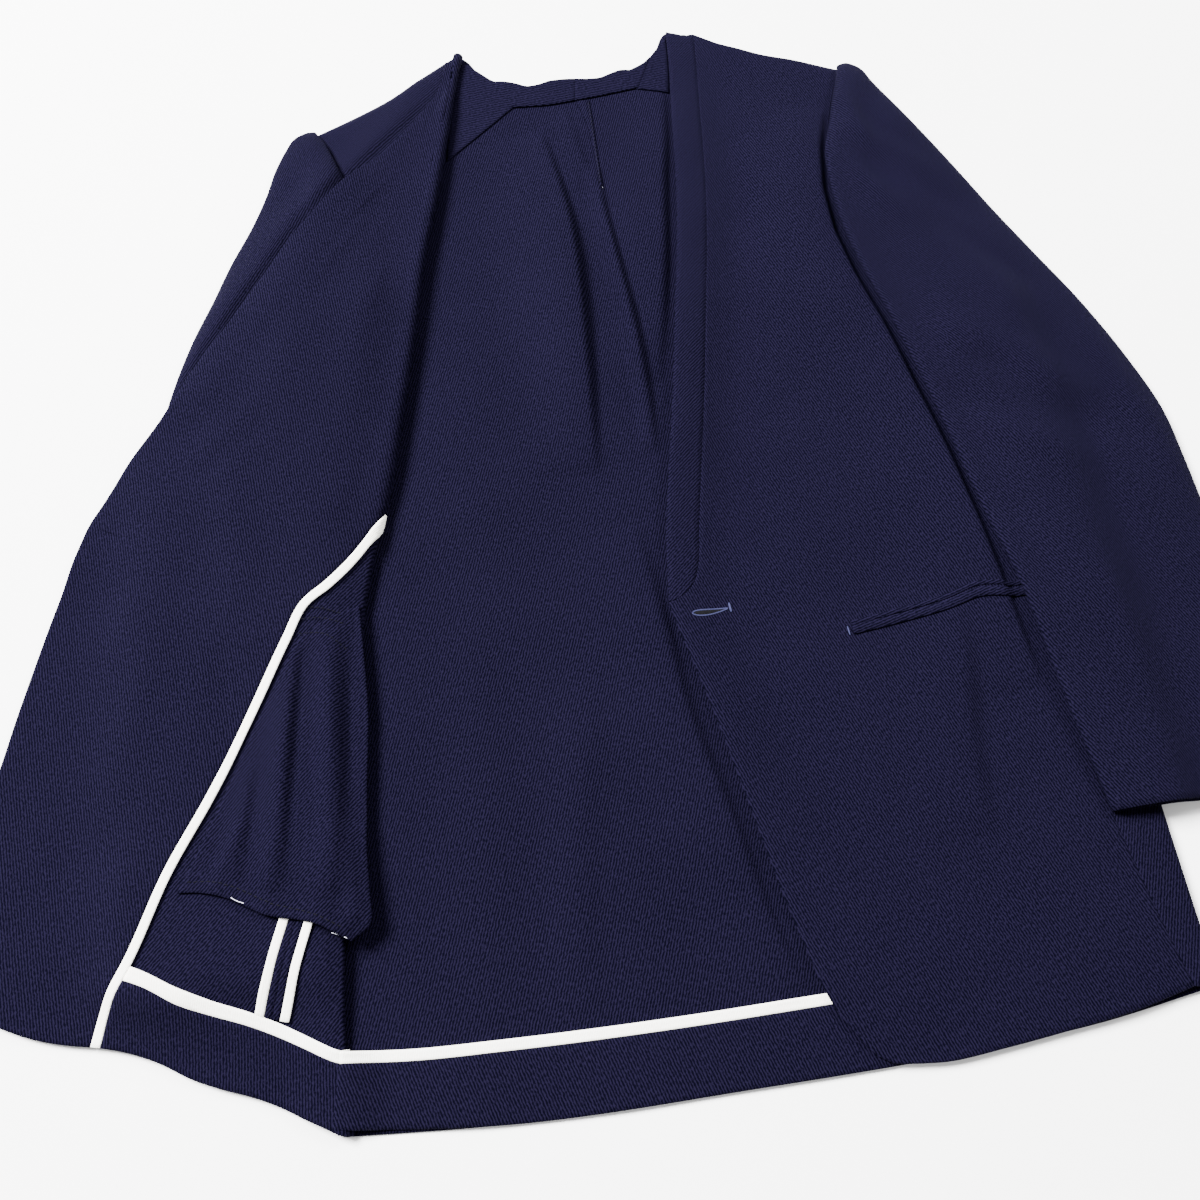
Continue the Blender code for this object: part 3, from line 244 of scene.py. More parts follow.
def between(foot, head, rows):
    """Plan points in rows from one rail to another."""
    part = even(rows)[:, None, None]
    return (1 - part) * foot[None] + part * head[None]


# %% Directions and distances
def unit(vectors):
    """Vectors of the same directions and of length 1."""
    return vectors / np.linalg.norm(vectors, axis=-1, keepdims=True)


def normals_of(grid):
    """Unit normals of a grid of points, up where rows run up and columns run to the right."""
    return unit(np.cross(np.gradient(grid, axis=1), np.gradient(grid, axis=0)))


def outward(points):
    """Unit vectors in plan to the right of a rail that runs up."""
    way = unit(np.gradient(points[:, :2], axis=0))
    return np.stack([way[:, 1], -way[:, 0]], axis=1)


def strip_plan(centre, width, columns=2):
    """Plan points of a strip along a centre line."""
    offsets = np.linspace(-width / 2, width / 2, columns + 1)
    return centre[:, None] + outward(centre)[:, None] * offsets[None, :, None]


def nearest_on(line, plan):
    """From a line to plan points: their distance, their side, and the share of the line before them."""
    run = row_length(line)
    far = np.full(plan.shape[:-1], np.inf)
    side = np.zeros(plan.shape[:-1])
    along = np.zeros(plan.shape[:-1])
    for number, (start, end) in enumerate(zip(line[:-1], line[1:])):
        way = end - start
        part = np.clip((plan - start) @ way / (way @ way), 0, 1)
        offset = plan - start - part[..., None] * way
        distance = np.linalg.norm(offset, axis=-1)
        closer = distance < far
        far = np.where(closer, distance, far)
        side = np.where(closer, np.sign(offset[..., 1] * way[0] - offset[..., 0] * way[1]), side)
        before = (run[number] + part * (run[number + 1] - run[number])) / run[-1]
        along = np.where(closer, before, along)
    return far, side, along


def fallen(height, low, distance, radius):
    """A height that rounds down to a low level within a radius of an edge."""
    part = np.clip(1 - distance / radius, 0, 1)
    return low + (height - low) * np.sqrt(1 - part**2)


# %% Slopes, and values read between rows
def ramp(value, start, end):
    """From 0 at the start to 1 at the end, smoothly."""
    part = np.clip((value - start) / (end - start), 0, 1)
    return part * part * (3 - 2 * part)


def lifted(plan, height):
    """Points from plan points and their heights."""
    return np.concatenate([plan, height[..., None]], axis=-1)


def read_at(values, keys, wanted):
    """The values of a table, read between its keys; they may be numbers, points or rows of a grid."""
    flat = values.reshape(len(values), -1)
    read = [np.interp(wanted, keys, column) for column in flat.T]
    return np.stack(read, axis=1).reshape(len(wanted), *values.shape[1:])


def along_row(points, normals, places, out):
    """Points at distances along one row of a grid, moved out along its normals."""
    run = row_length(points)
    return read_at(points, run, places) + unit(read_at(normals, run, places)) * out


def nearest(levels, wanted):
    """The number of the level that is nearest to a wanted one."""
    return int(np.argmin(np.abs(levels - wanted)))


# %% Soft folds
BACK_FOLDS = [(5, -62, 13, -250, 13, 3.0), (-46, -100, -6, -360, 26, 3.2), (-96, -240, -120, -470, 30, 1.6)]
FRONT_FOLDS = [(78, -40, 18, -420, 24, 3.0), (120, -60, 132, -330, 46, 4.6), (96, -430, 140, -700, 40, 1.2)]
MIDDLE_FOLDS = [(-120, -60, -132, -330, 46, 3.6)]
FOLD_SPREAD = 1.9
FOLD_FADE = 0.8
CURVE_FADE = 0.6


def folds(plan, table):
    """The rise of soft folds at plan points."""
    rise = np.zeros(plan.shape[:-1])
    for across_0, up_0, across_1, up_1, half_width, height in table:
        run = math.hypot(across_1 - across_0, up_1 - up_0)
        way = np.array([across_1 - across_0, up_1 - up_0]) / run
        offset = plan - np.array([across_0, up_0])
        along = np.clip(offset @ way / run, 0, 1)
        beside = offset @ np.array([-way[1], way[0]])
        bell = np.clip(1 - (beside / (FOLD_SPREAD * half_width)) ** 2, 0, 1) ** 3
        rise += height * bell * np.sin(math.pi * along) ** FOLD_FADE
    return rise


# %% [markdown]
# ## How the layers lie on each other
#
# Cloth has no height of its own: it lies on what is under it. These functions give the height of each
# layer's middle surface: the left front over its hem and side seam, the lower cloth of the right front over
# the back, and each sleeve over the body and then down to the surface.

# %% Levels and reaches
SIDE_ROLL = 3.0
SHOULDER_ROLL = 9.0
FLAT_LEVEL = WALL / 2
FRONT_LEVEL = 3.2
SEAM_LEVEL = FLAT_LEVEL + LAY
SIDE_LEVEL = FLAT_LEVEL + 2 * SIDE_ROLL
TABLE_GAP = 0.3
SLEEVE_POWER = 2.8
RAMP_START = 3.0
SLEEVE_RAMP = 30.0
SLEEVE_CLEAR = 0.4
CUFF_REACH = 20.0
CLIMB_ACROSS = (150, 222)
CLIMB_UP = (-240, -300)
HEM_STEP = 1.6
HEM_STEP_UP = (-655, -688)
MIDDLE_LEVEL = 2.5
MIDDLE_RISE = 2.0
MIDDLE_RISE_UP = (-440, -360)
MIDDLE_REACH = 28.0
BODY_MARGIN = 8.0
SUPPORT_REACH = 9.0
SUPPORT_CLEAR = 0.3
DRAPE_CLEAR = 1.1
DRAPE_ROUNDS = 900
DRAPE_BEND = 0.010

# %% Heights of the panels
def front_height(plan):
    """The left front's middle surface: over the hem turn-up, up to the side seam, down to the shoulder."""
    side = ramp(plan[..., 0], *CLIMB_ACROSS) * ramp(plan[..., 1], *CLIMB_UP)
    hem = HEM_STEP * ramp(plan[..., 1], *HEM_STEP_UP)
    height = FRONT_LEVEL + hem * (1 - side) + (SIDE_LEVEL - FRONT_LEVEL) * side
    height = height + folds(plan, FRONT_FOLDS) * (1 - side)
    return fallen(height, SEAM_LEVEL, nearest_on(rail(LEFT_SHOULDER, even(12)), plan)[0], SHOULDER_ROLL)


def middle_height(plan):
    """The right front's lower cloth, outer side up on the back: its edges meet the back's."""
    body = rail(joined(np.array(RIGHT_SIDE), np.array(RIGHT_ARMHOLE)), even(30))
    height = MIDDLE_LEVEL + MIDDLE_RISE * ramp(plan[..., 1], *MIDDLE_RISE_UP) + folds(plan, MIDDLE_FOLDS)
    height = SEAM_LEVEL + (height - SEAM_LEVEL) * ramp(nearest_on(body, plan)[0], 0, MIDDLE_REACH)
    return fallen(height, SEAM_LEVEL, nearest_on(rail(RIGHT_SHOULDER, even(12)), plan)[0], SHOULDER_ROLL)


# %% What the sleeves lie on
def table_column(table, number, up):
    """One column of a table whose first column falls from the neck to the hem."""
    rows = np.array(table, float)[::-1]
    return spline(rows[:, 0], rows[:, number], np.clip(up, rows[0, 0], rows[-1, 0]))


def rest_on(body, plan, edge_table, side):
    """The level that a sleeve lies on: the body, then beyond its edge a slope down to the surface."""
    edge = side * table_column(edge_table, 1, plan[..., 1])
    on_body = body + WALL / 2 + GAP + SLEEVE_CLEAR
    off_body = ramp(side * plan[..., 0], edge + RAMP_START, edge + SLEEVE_RAMP)
    return on_body + (TABLE_GAP - on_body) * off_body


def left_rest(plan):
    """The level under the left sleeve, which also clears the pocket's lips."""
    offset = (plan - np.array(POCKET_END)) / np.array(JET_REACH)
    lips = JET_CLEAR * np.exp(-(offset**4).sum(axis=-1))
    return rest_on(front_height(plan) + lips, plan, LEFT_BODY_EDGE, 1)


def right_rest(plan):
    """The level under the right sleeve."""
    return rest_on(middle_height(plan), plan, RIGHT_BODY_EDGE, -1)


def sleeve_dome(plan, table, rest):
    """The height of a sleeve's upper cloth over plan points, and where there is none, below the surface."""
    up = plan[..., 1]
    inner = table_column(table, 1, up)
    outer = table_column(table, 2, up)
    side = 2 * (plan[..., 0] - inner) / (outer - inner) - 1
    inside = (np.abs(side) < 1) & (up < table[0][0]) & (up > table[-1][0] - CUFF_REACH)
    dome = np.clip(1 - np.abs(side) ** SLEEVE_POWER, 0, 1) ** (1 / SLEEVE_POWER)
    return np.where(inside, rest(plan) + table_column(table, 3, up) * dome, -WALL)


# %% [markdown]
# The turned-open front hangs in soft curves between the back, the sleeve and the surface. Blender's cloth
# simulation could drop it there, but it would drift from the real outline. So the sheet is relaxed instead:
# each point moves to the mean of its neighbours, less a little sag, and never under what supports it.

# %% The hanging cloth
def open_support(plan):
    """The lowest level that the turned-open cloth may have over the surface, back, sleeve and button."""
    edge = table_column(RIGHT_BODY_EDGE, 1, plan[..., 1])
    level = np.full(plan.shape[:-1], TABLE_GAP + WALL / 2)
    on_body = (plan[..., 0] > edge - BODY_MARGIN) & (plan[..., 1] < 0)
    level = np.where(on_body, middle_height(plan) + LAY + SUPPORT_CLEAR, level)
    level = np.maximum(level, sleeve_dome(plan, RIGHT_SLEEVE, right_rest) + LAY + DRAPE_CLEAR)
    button = np.linalg.norm(plan - np.array(BUTTON_PLACE), axis=-1)
    under = TABLE_GAP + BUTTON_THICKNESS + GAP + WALL / 2
    return np.maximum(level, np.where(button < BUTTON_DIAMETER / 2 + BUTTON_MARGIN, under, 0))


def draped(plan, fixed_last):
    """Heights of a cloth that hangs in soft curves over what supports it, its last column fixed."""
    support = open_support(plan)
    for turn in range(8):
        angle = turn * math.pi / 4
        reach = SUPPORT_REACH * np.array([math.cos(angle), math.sin(angle)])
        support = np.maximum(support, open_support(plan + reach))
    wide = np.linalg.norm(np.diff(plan, axis=1), axis=2)
    tall = np.linalg.norm(np.diff(plan, axis=0), axis=2)
    wide = np.pad(wide, ((0, 0), (0, 1)), mode="edge")
    tall = np.pad(tall, ((0, 1), (0, 0)), mode="edge")
    height = support.copy()
    height[:, -1] = fixed_last
    weight_across = tall**2 / (wide**2 + tall**2) / 2
    weight_up = wide**2 / (wide**2 + tall**2) / 2
    sag = DRAPE_BEND * wide**2 * tall**2 / (wide**2 + tall**2) / 2
    for _ in range(DRAPE_ROUNDS):
        wrapped = np.pad(height, 1, mode="edge")
        beside = wrapped[1:-1, :-2] + wrapped[1:-1, 2:]
        above = wrapped[:-2, 1:-1] + wrapped[2:, 1:-1]
        height = np.maximum(support, weight_across * beside + weight_up * above - sag)
        height[:, -1] = fixed_last
    return height


# %% Rows and columns of the panels
LEFT_EDGE_PLACES = [0, 0.03, 0.06, 0.09, 0.13, 0.19, 0.27, 0.36, 0.47, 0.59, 0.71, 0.82, 0.92, 1.0]
RIGHT_EDGE_PLACES = [0, 0.036, 0.078, 0.125, 0.18, 0.24, 0.31, 0.39, 0.48, 0.59, 0.71, 0.82, 0.92, 1.0]
EDGE_ROWS = 13
V_PLACES = [0, 0.002, 0.012, 0.03, 0.06, 0.11, 0.18, 0.27, 0.37, 0.47, 0.57, 0.67, 0.77, 0.86, 0.93,
            0.972, 0.991, 1.0]
SEAM_ROWS = 18
ARMHOLE_PLACES = [0, 0.09, 0.19, 0.30, 0.41, 0.52, 0.63, 0.74, 0.84, 0.91, 0.955, 0.985, 1.0]
FOLD_PLACES = [0, 0.013, 0.027, 0.041, 0.056, 0.078, 0.104, 0.134, 0.17, 0.21, 0.25, 0.29, 0.33, 0.37,
               0.40, 0.43, 0.458, 0.485, 0.511, 0.535, 0.57, 0.62, 0.68, 0.74, 0.80, 0.86, 0.915, 0.957,
               0.983, 0.9945, 1.0]
HEM_LEVEL = 3.8
FRONT_COLUMNS = 12
OPEN_COLUMNS = 12
MIDDLE_COLUMNS = 4
ROLL_STEPS = 6
SHOULDER_COLUMNS = 4
NECK_COLUMNS = 8
BACK_COLUMNS = 2 * SHOULDER_COLUMNS + NECK_COLUMNS
WRAP_COLUMNS = 2
EDGE_COLUMN = 0.8
FLAT_COLUMN = 0.9
BAND_SHARE = 0.45
BAND_TIP_GAP = 5 * SEAM
CORNER_END = [(-5, 1.5), (-9, 0.5)]
FACING_INSET = 0.4
TIP_UP = -352.0
TIP_WRAP = 0.55
LEAST_LEAN = 0.5
SHELF_REACH = (3, 14)

# %% The back as a coarse grid of points
def side_rail(side, armhole):
    """A side and the armhole above it, at the rows that the panels share."""
    return joined(rail(side, even(SEAM_ROWS)), rail(armhole, ARMHOLE_PLACES))


def back_grid():
    """The back: flat on the surface, its left edge rolled up and over to the side seam."""
    foot = rail(BACK_HEM, even(BACK_COLUMNS))
    head = joined(
        rail(RIGHT_SHOULDER, even(SHOULDER_COLUMNS)),
        rail(BACK_NECK, even(NECK_COLUMNS)),
        rail(LEFT_SHOULDER, even(SHOULDER_COLUMNS)),
    )
    left = side_rail(RIGHT_SIDE, RIGHT_ARMHOLE)
    right = side_rail(LEFT_SIDE, LEFT_ARMHOLE)
    plan = patch(foot, head, left, right)
    flat = lifted(plan, FLAT_LEVEL + folds(plan, BACK_FOLDS))
    seam = side_rail(LEFT_SIDE_SEAM, LEFT_ARMHOLE)
    columns = [flat]
    rolled = np.zeros(len(left))
    rolled[: SEAM_ROWS - 1] = 1
    rolled[SEAM_ROWS - 1] = 0.5
    angles = [math.pi * step / ROLL_STEPS for step in range(1, ROLL_STEPS + 1)]
    shapes = [(SIDE_ROLL * math.sin(a), SIDE_ROLL * (1 - math.cos(a))) for a in angles]
    for number in range(ROLL_STEPS + WRAP_COLUMNS):
        if number < ROLL_STEPS:
            reach = np.full(len(left), shapes[number][0])
            rise = shapes[number][1]
            up = right[:, 1]
        else:
            part = (number - ROLL_STEPS + 1) / WRAP_COLUMNS
            reach = (seam[:, 0] + GAP / 2 - right[:, 0]) * part
            rise = 2 * SIDE_ROLL
            up = right[:, 1] + (seam[:, 1] - right[:, 1]) * part * rolled
        across = right[:, 0] + rolled * reach + (1 - rolled) * FLAT_COLUMN * (number + 1)
        height = FLAT_LEVEL + rolled * rise
        columns.append(np.stack([across, up, height], axis=1)[:, None])
    return np.concatenate(columns, axis=1)


# %% The left front and its band
def band_line(v_rail):
    """The seam between a neckline band and its front: the V's edge moved in, rounded to its point."""
    return BAND_WIDTH * (1 - np.exp(-row_length(v_rail) / BAND_END))


def left_front_parts():
    """The left front's grid, and the band beside it."""
    v_rail = rail(LEFT_V, V_PLACES)
    inside = v_rail + outward(v_rail) * band_line(v_rail)[:, None]
    shoulder = rail(LEFT_SHOULDER, even(40))
    inside[-1] = shoulder[np.argmin(np.abs(shoulder[:, 0] - inside[-1, 0]))]
    foot = rail(LEFT_HEM, even(FRONT_COLUMNS))
    head = rail([tuple(inside[-1]), *LEFT_SHOULDER[2:]], even(FRONT_COLUMNS))
    left = joined(rail(LEFT_FRONT_EDGE, LEFT_EDGE_PLACES), inside)
    right = side_rail(LEFT_SIDE_SEAM, LEFT_ARMHOLE)
    right = right - np.array([GAP / 2, 0])
    foot[-1] = right[0]
    head[-1] = right[-1]
    plan = patch(foot, head, left, right)
    front = lifted(plan, front_height(plan))
    edge = v_rail[1:]
    seam = inside[1:] - outward(v_rail)[1:] * GAP
    seam[-1, 0] -= BAND_TIP_GAP
    strip = np.stack([edge, (edge + seam) / 2, seam], axis=1)
    band = lifted(strip, front_height(strip))
    return front, band


# %% The right front, folded
def right_front_parts():
    """The right front as one grid (turned-open cloth, roll, cloth below), and its open part."""
    fold = rail(FRONT_FOLD, FOLD_PLACES)
    aside = outward(fold)
    low = middle_height(fold[:, :2])
    radius = (fold[:, 2] - low) / 2
    core = fold[:, :2] - aside * radius[:, None]
    v_rail = rail(RIGHT_V, V_PLACES)
    room = BAND_SHARE * np.linalg.norm(v_rail - core[EDGE_ROWS:], axis=1)
    inside = v_rail + outward(v_rail) * np.minimum(band_line(v_rail), room)[:, None]
    edge = joined(rail(RIGHT_FRONT_EDGE, RIGHT_EDGE_PLACES), v_rail)
    inner = joined(rail(RIGHT_FRONT_EDGE, RIGHT_EDGE_PLACES), inside)
    inner[:EDGE_ROWS + 1] += outward(edge)[:EDGE_ROWS + 1] * EDGE_COLUMN
    foot = rail(RIGHT_HEM, even(OPEN_COLUMNS))
    foot[0] = inner[0]
    foot[-1] = core[0]
    head = inner[-1] + (core[-1] - inner[-1]) * even(OPEN_COLUMNS)[:, None]
    plan = patch(foot, head, inner, core)
    plan = np.concatenate([edge[:, None], plan], axis=1)
    opened = lifted(plan, draped(plan, fold[:, 2]))
    rolled = []
    for step in range(1, ROLL_STEPS):
        angle = math.pi * step / ROLL_STEPS
        out = core + aside * (radius * math.sin(angle))[:, None]
        rolled.append(lifted(out, low + radius + radius * math.cos(angle))[:, None])
    end = side_rail(RIGHT_SIDE, RIGHT_ARMHOLE)
    end = rail(end, FOLD_PLACES) + np.array([EDGE_COLUMN, 0])
    end[:2] = core[:2] + np.array(CORNER_END)
    shoulder = rail(RIGHT_SHOULDER[::-1], even(MIDDLE_COLUMNS))
    shoulder[0] = core[-1]
    shoulder[-1] = end[-1]
    hem = core[0] + (end[0] - core[0]) * even(MIDDLE_COLUMNS)[:, None]
    under = patch(hem, shoulder, core, end)
    lower = lifted(under, middle_height(under))
    lower[:, 0, 2] = low
    grid = np.concatenate([opened, *rolled, lower], axis=1)
    return grid, opened


# %% [markdown]
# A coarse grid holds the form. `finer` puts smooth curves through its points, with slopes held back where
# the spacing jumps, so that a tight roll beside a flat stretch doesn't make the cloth swing below the
# surface. It also returns where each coarse row and column ended up.

# %% From coarse grids to fine ones
def held_slopes(keys, values):
    """Slopes through a table's points, never steeper than three times the gentler side."""
    slopes = np.gradient(values, keys, axis=0)
    secants = np.diff(values, axis=0) / np.diff(keys)[:, None]
    before = np.concatenate([secants[:1], secants])
    after = np.concatenate([secants, secants[-1:]])
    least = np.minimum(np.abs(before), np.abs(after))
    most = np.where(before * after > 0, 3 * least, least)
    return np.clip(slopes, -most, most)


def finer(grid, step, column_steps=None):
    """A grid whose points are about one step apart, and the places of its rows and columns in the old one."""
    places = []
    for steps in (step, step if column_steps is None else column_steps):
        gaps = np.linalg.norm(np.diff(grid, axis=0), axis=2).mean(axis=1)
        keys = np.concatenate(([0], np.cumsum(gaps)))
        counts = np.maximum(1, np.round(gaps / steps)).astype(int)
        levels = [row + part / count for row, count in enumerate(counts) for part in range(count)]
        levels = np.array([*levels, len(counts)])
        at = np.interp(levels, np.arange(len(keys)), keys)
        flat = grid.reshape(len(grid), -1)
        fine = spline(keys, flat, at, held_slopes(keys, flat))
        grid = fine.reshape(len(at), grid.shape[1], 3).swapaxes(0, 1)
        places.append(levels)
    return grid, places[0], places[1]


# %% [markdown]
# ## The finishes
#
# The cloth is a worsted wool twill, piece-dyed navy. Its diagonal ribs, the wales, are about 1.4 mm apart;
# they are drawn 1.6 mm apart here, because finer ones would flicker in the picture. Wool scatters light in
# its fibre ends, which Blender's sheen gives. The binding is a white polyester tape with a fine cross rib.
# Colours are written as hex values, as a designer would pick them from a swatch.

# %% Nodes and colours
def linear(colour):
    """A hex colour as linear red, green and blue."""
    parts = [int(colour[i:i + 2], 16) / 255 for i in (1, 3, 5)]
    return [part / 12.92 if part <= 0.04045 else ((part + 0.055) / 1.055) ** 2.4 for part in parts] + [1]


def add_node(tree, kind, inputs, **settings):
    """A shader node with its settings, and its inputs set or linked."""
    node = tree.nodes.new(kind)
    for name, value in settings.items():
        setattr(node, name, value)
    for name, value in inputs.items():
        if isinstance(value, bpy.types.NodeSocket):
            tree.links.new(value, node.inputs[name])
        else:
            node.inputs[name].default_value = value
    return node


def new_finish(name):
    """A new material, its nodes and its shader."""
    material = bpy.data.materials.new(name)
    material.use_nodes = True
    return material, material.node_tree, material.node_tree.nodes["Principled BSDF"]


def set_inputs(node, values):
    """Sets inputs of a node, each by its name."""
    for name, value in values.items():
        node.inputs[name].default_value = value


# %% Woven finish
WALE = 1.6 * MM
FIBRE = 0.9 * MM
FLOAT = (1.0, 0.5, 1.0)
CLOUD = 60 * MM
BANDS_PER_UNIT = 2 * math.pi / 20


def woven(name, dark, light, wale, roughness, sheen, tint, depth):
    """A dyed cloth: ribs of yarn, loose fibre over them, and a slow change of shade."""
    material, tree, shader = new_finish(name)
    place = add_node(tree, "ShaderNodeUVMap", {}, uv_map="cloth").outputs["UV"]
    ribs = add_node(tree, "ShaderNodeTexWave", {
        "Vector": place, "Scale": BANDS_PER_UNIT / wale, "Distortion": 2.2, "Detail": 2, "Detail Scale": 1.6,
        "Detail Roughness": 0.6})
    drawn = add_node(tree, "ShaderNodeMapping", {"Vector": place, "Scale": FLOAT}).outputs["Vector"]
    fibre = add_node(tree, "ShaderNodeTexNoise", {"Vector": drawn, "Scale": 1 / FIBRE, "Detail": 2})
    fibre = add_node(tree, "ShaderNodeMapRange", {
        "Value": fibre.outputs["Fac"], "From Min": 0.3, "From Max": 0.7})
    cloud = add_node(tree, "ShaderNodeTexNoise", {"Vector": place, "Scale": 1 / CLOUD, "Detail": 2})
    yarn = add_node(tree, "ShaderNodeMix", {0: 0.5, 2: ribs.outputs["Fac"], 3: fibre.outputs["Result"]})
    yarn = add_node(tree, "ShaderNodeMapRange", {"Value": yarn.outputs[0], "From Min": 0.3, "From Max": 0.7})
    shade = add_node(tree, "ShaderNodeMix", {0: 0.12, 2: yarn.outputs[0], 3: cloud.outputs["Fac"]})
    colour = add_node(tree, "ShaderNodeMix", {
        0: shade.outputs[0], 6: linear(dark), 7: linear(light)}, data_type="RGBA")
    bump = add_node(tree, "ShaderNodeBump", {
        "Height": yarn.outputs[0], "Strength": depth, "Distance": 0.25 * MM})
    tree.links.new(colour.outputs[2], shader.inputs["Base Color"])
    tree.links.new(bump.outputs["Normal"], shader.inputs["Normal"])
    set_inputs(shader, {
        "Roughness": roughness, "IOR": 1.54, "Specular IOR Level": 0.01, "Sheen Weight": sheen,
        "Sheen Roughness": 0.45, "Sheen Tint": linear(tint)})
    return material


navy_twill = woven("worsted wool twill, woven and piece-dyed navy", "#010106", "#0f0c1c", WALE,
                   0.9, 0.01, "#6f6cb8", 0.9)
white_tape = woven("polyester binding tape, woven white", "#e6e3da", "#fbfaf5", 0.9 * MM,
                   0.6, 0.1, "#ffffff", 0.35)
print("cloth finishes:", navy_twill.name, "and", white_tape.name)

# %% [markdown]
# The ribs run at an angle to the threads, and they lean the other way on the cloth's wrong side. So the
# lean of the ribs tells which side of each piece is up, and how its cut was turned on the bolt.

# %% Lean of the ribs on each piece, from straight up toward the right
RIBS_BACK = math.radians(21)
RIBS_DART = RIBS_BACK + 0.15
RIBS_NECK = math.radians(-70)
RIBS_FRONT = math.radians(-20)
RIBS_BAND = math.radians(48)
RIBS_OPEN = math.radians(47)
RIBS_FACING = math.radians(-6)
RIBS_FRONT_HEM = math.radians(3)
RIBS_BACK_HEM = math.radians(-17)
RIBS_BAG = math.radians(48)
RIBS_SLEEVE = math.radians(-24)
RIBS_POCKET = math.radians(75)

# %% Plain finishes
GRAIN = 0.8 * MM
PALER = (1.5, 0.004)


def plain(name, colour, roughness, ior, gloss=0.05, coat=0.0):
    """A smooth finish with a fine unevenness in its colour."""
    material, tree, shader = new_finish(name)
    place = add_node(tree, "ShaderNodeTexCoord", {}).outputs["Object"]
    grain = add_node(tree, "ShaderNodeTexNoise", {"Vector": place, "Scale": 1 / GRAIN, "Detail": 2})
    pale = [min(1, part * PALER[0] + PALER[1]) for part in linear(colour)[:3]] + [1]
    mixed = add_node(tree, "ShaderNodeMix", {
        0: grain.outputs["Fac"], 6: linear(colour), 7: pale}, data_type="RGBA")
    tree.links.new(mixed.outputs[2], shader.inputs["Base Color"])
    set_inputs(shader, {
        "Roughness": roughness, "IOR": ior, "Specular IOR Level": gloss, "Coat Weight": coat})
    return material


slate_thread = plain("silk buttonhole twist, spun and dyed slate blue", "#23243d", 0.6, 1.5)
navy_thread = plain("polyester sewing thread, spun navy", "#0c0a17", 0.8, 1.55)
# Near-black thread for the bag's and pocket's seams: painted shade, so their sunk stitches show as dark
# lines.
seam_shade_thread = plain("polyester sewing thread, near-black for painted seam shade", "#020205", 0.9, 1.55)
slit_shade = plain("worsted wool in deep shade", "#010103", 0.95, 1.5)
pale_thread = plain("cotton tacking thread, spun pale grey", "#b9b9c8", 0.7, 1.5)
navy_button = plain("cast polyester, turned and polished navy", "#1c1b33", 0.25, 1.55, 0.5, 0.3)
print("plain finishes:", slate_thread.name, navy_thread.name, pale_thread.name, navy_button.name, sep="; ")

# %% [markdown]
# ## From a grid to a piece of cloth
#
# A cut panel is a shell: its upper face, its under face, and a soft rounded edge between them. Blender's
# Solidify modifier makes square edges, so the wall is built here with one more loop of points pushed out
# along the edge. The UV map holds real metres along the grain, and that is what the weave follows.

# %% Where the jacket stands in the frame
low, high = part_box("button")
JACKET_PLACE = Vector(((low.x + high.x) / 2, (low.y + high.y) / 2, 0)) - Vector((*BUTTON_PLACE, 0)) * MM
print("the neck's middle stands at", [round(value, 4) for value in JACKET_PLACE])

# %% Cloth pieces
RIM_SHARE = 0.7
DROP_FROM = 200
NEAR_LEVEL = 5


def sewn(name, points, faces, finish):
    """Adds a mesh to the jacket."""
    mesh = bpy.data.meshes.new(name)
    mesh.from_pydata((np.array(points) * MM + np.array(JACKET_PLACE)).tolist(), [], faces)
    mesh.materials.append(finish)
    mesh.shade_smooth()
    piece = bpy.data.objects.new(name, mesh)
    bpy.context.scene.collection.objects.link(piece)
    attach(piece, "root")
    return piece


def rim_of(grid):
    """The points round a grid, anticlockwise from its first one."""
    return np.concatenate([grid[0, :], grid[1:, -1], grid[-1, -2::-1], grid[-2:0:-1, 0]])


def quads_of(grid):
    """The numbers of a grid's points, and its square faces."""
    number = np.arange(grid[..., 0].size).reshape(grid.shape[:2])
    corners = [number[:-1, :-1], number[:-1, 1:], number[1:, 1:], number[1:, :-1]]
    return number, np.stack(corners, axis=-1).reshape(-1, 4)


def cloth(name, grid, solids=(), finish=navy_twill, wall=WALL, turn=0.0, grain=None, slot="navy_twill"):
    """A closed shell of cloth over its solids; its middle surface is a grid, and its ribs lean by a turn."""
    normal = normals_of(grid)
    rim = rim_of(grid)
    tangent = np.roll(rim, -1, axis=0) - np.roll(rim, 1, axis=0)
    out = np.cross(tangent, rim_of(normal))
    out /= np.maximum(np.linalg.norm(out, axis=1, keepdims=True), 1e-9)
    half = wall / 2
    sides = [(grid + normal * half).reshape(-1, 3), (grid - normal * half).reshape(-1, 3)]
    points = np.concatenate([*sides, rim + out * half * RIM_SHARE])
    number, quads = quads_of(grid)
    top = rim_of(number[..., None])[:, 0]
    base = top + number.size
    middle = 2 * number.size + np.arange(len(rim))
    after = [np.roll(loop, -1) for loop in (top, middle, base)]
    faces = np.concatenate([
        quads,
        quads[:, ::-1] + number.size,
        np.stack([top, middle, after[1], after[0]], axis=1),
        np.stack([middle, base, after[2], after[1]], axis=1),
    ])
    piece = sewn(name, points, faces.tolist(), finish)
    spin = np.array([[math.cos(turn), math.sin(turn)], [-math.sin(turn), math.cos(turn)]])
    grain = (grid[..., :2] if grain is None else grain) @ spin
    flat = grain.reshape(-1, 2)
    flat = np.concatenate([flat, flat, rim_of(grain)]) * MM
    layer = piece.data.uv_layers.new(name="cloth")
    layer.data.foreach_set("uv", flat[faces.reshape(-1)].astype(np.float32).reshape(-1))
    if solids:
        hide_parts(*solids)
    print(name, "%.3f m by %.3f m, %.4f m2" % size_of(grid))
    return piece


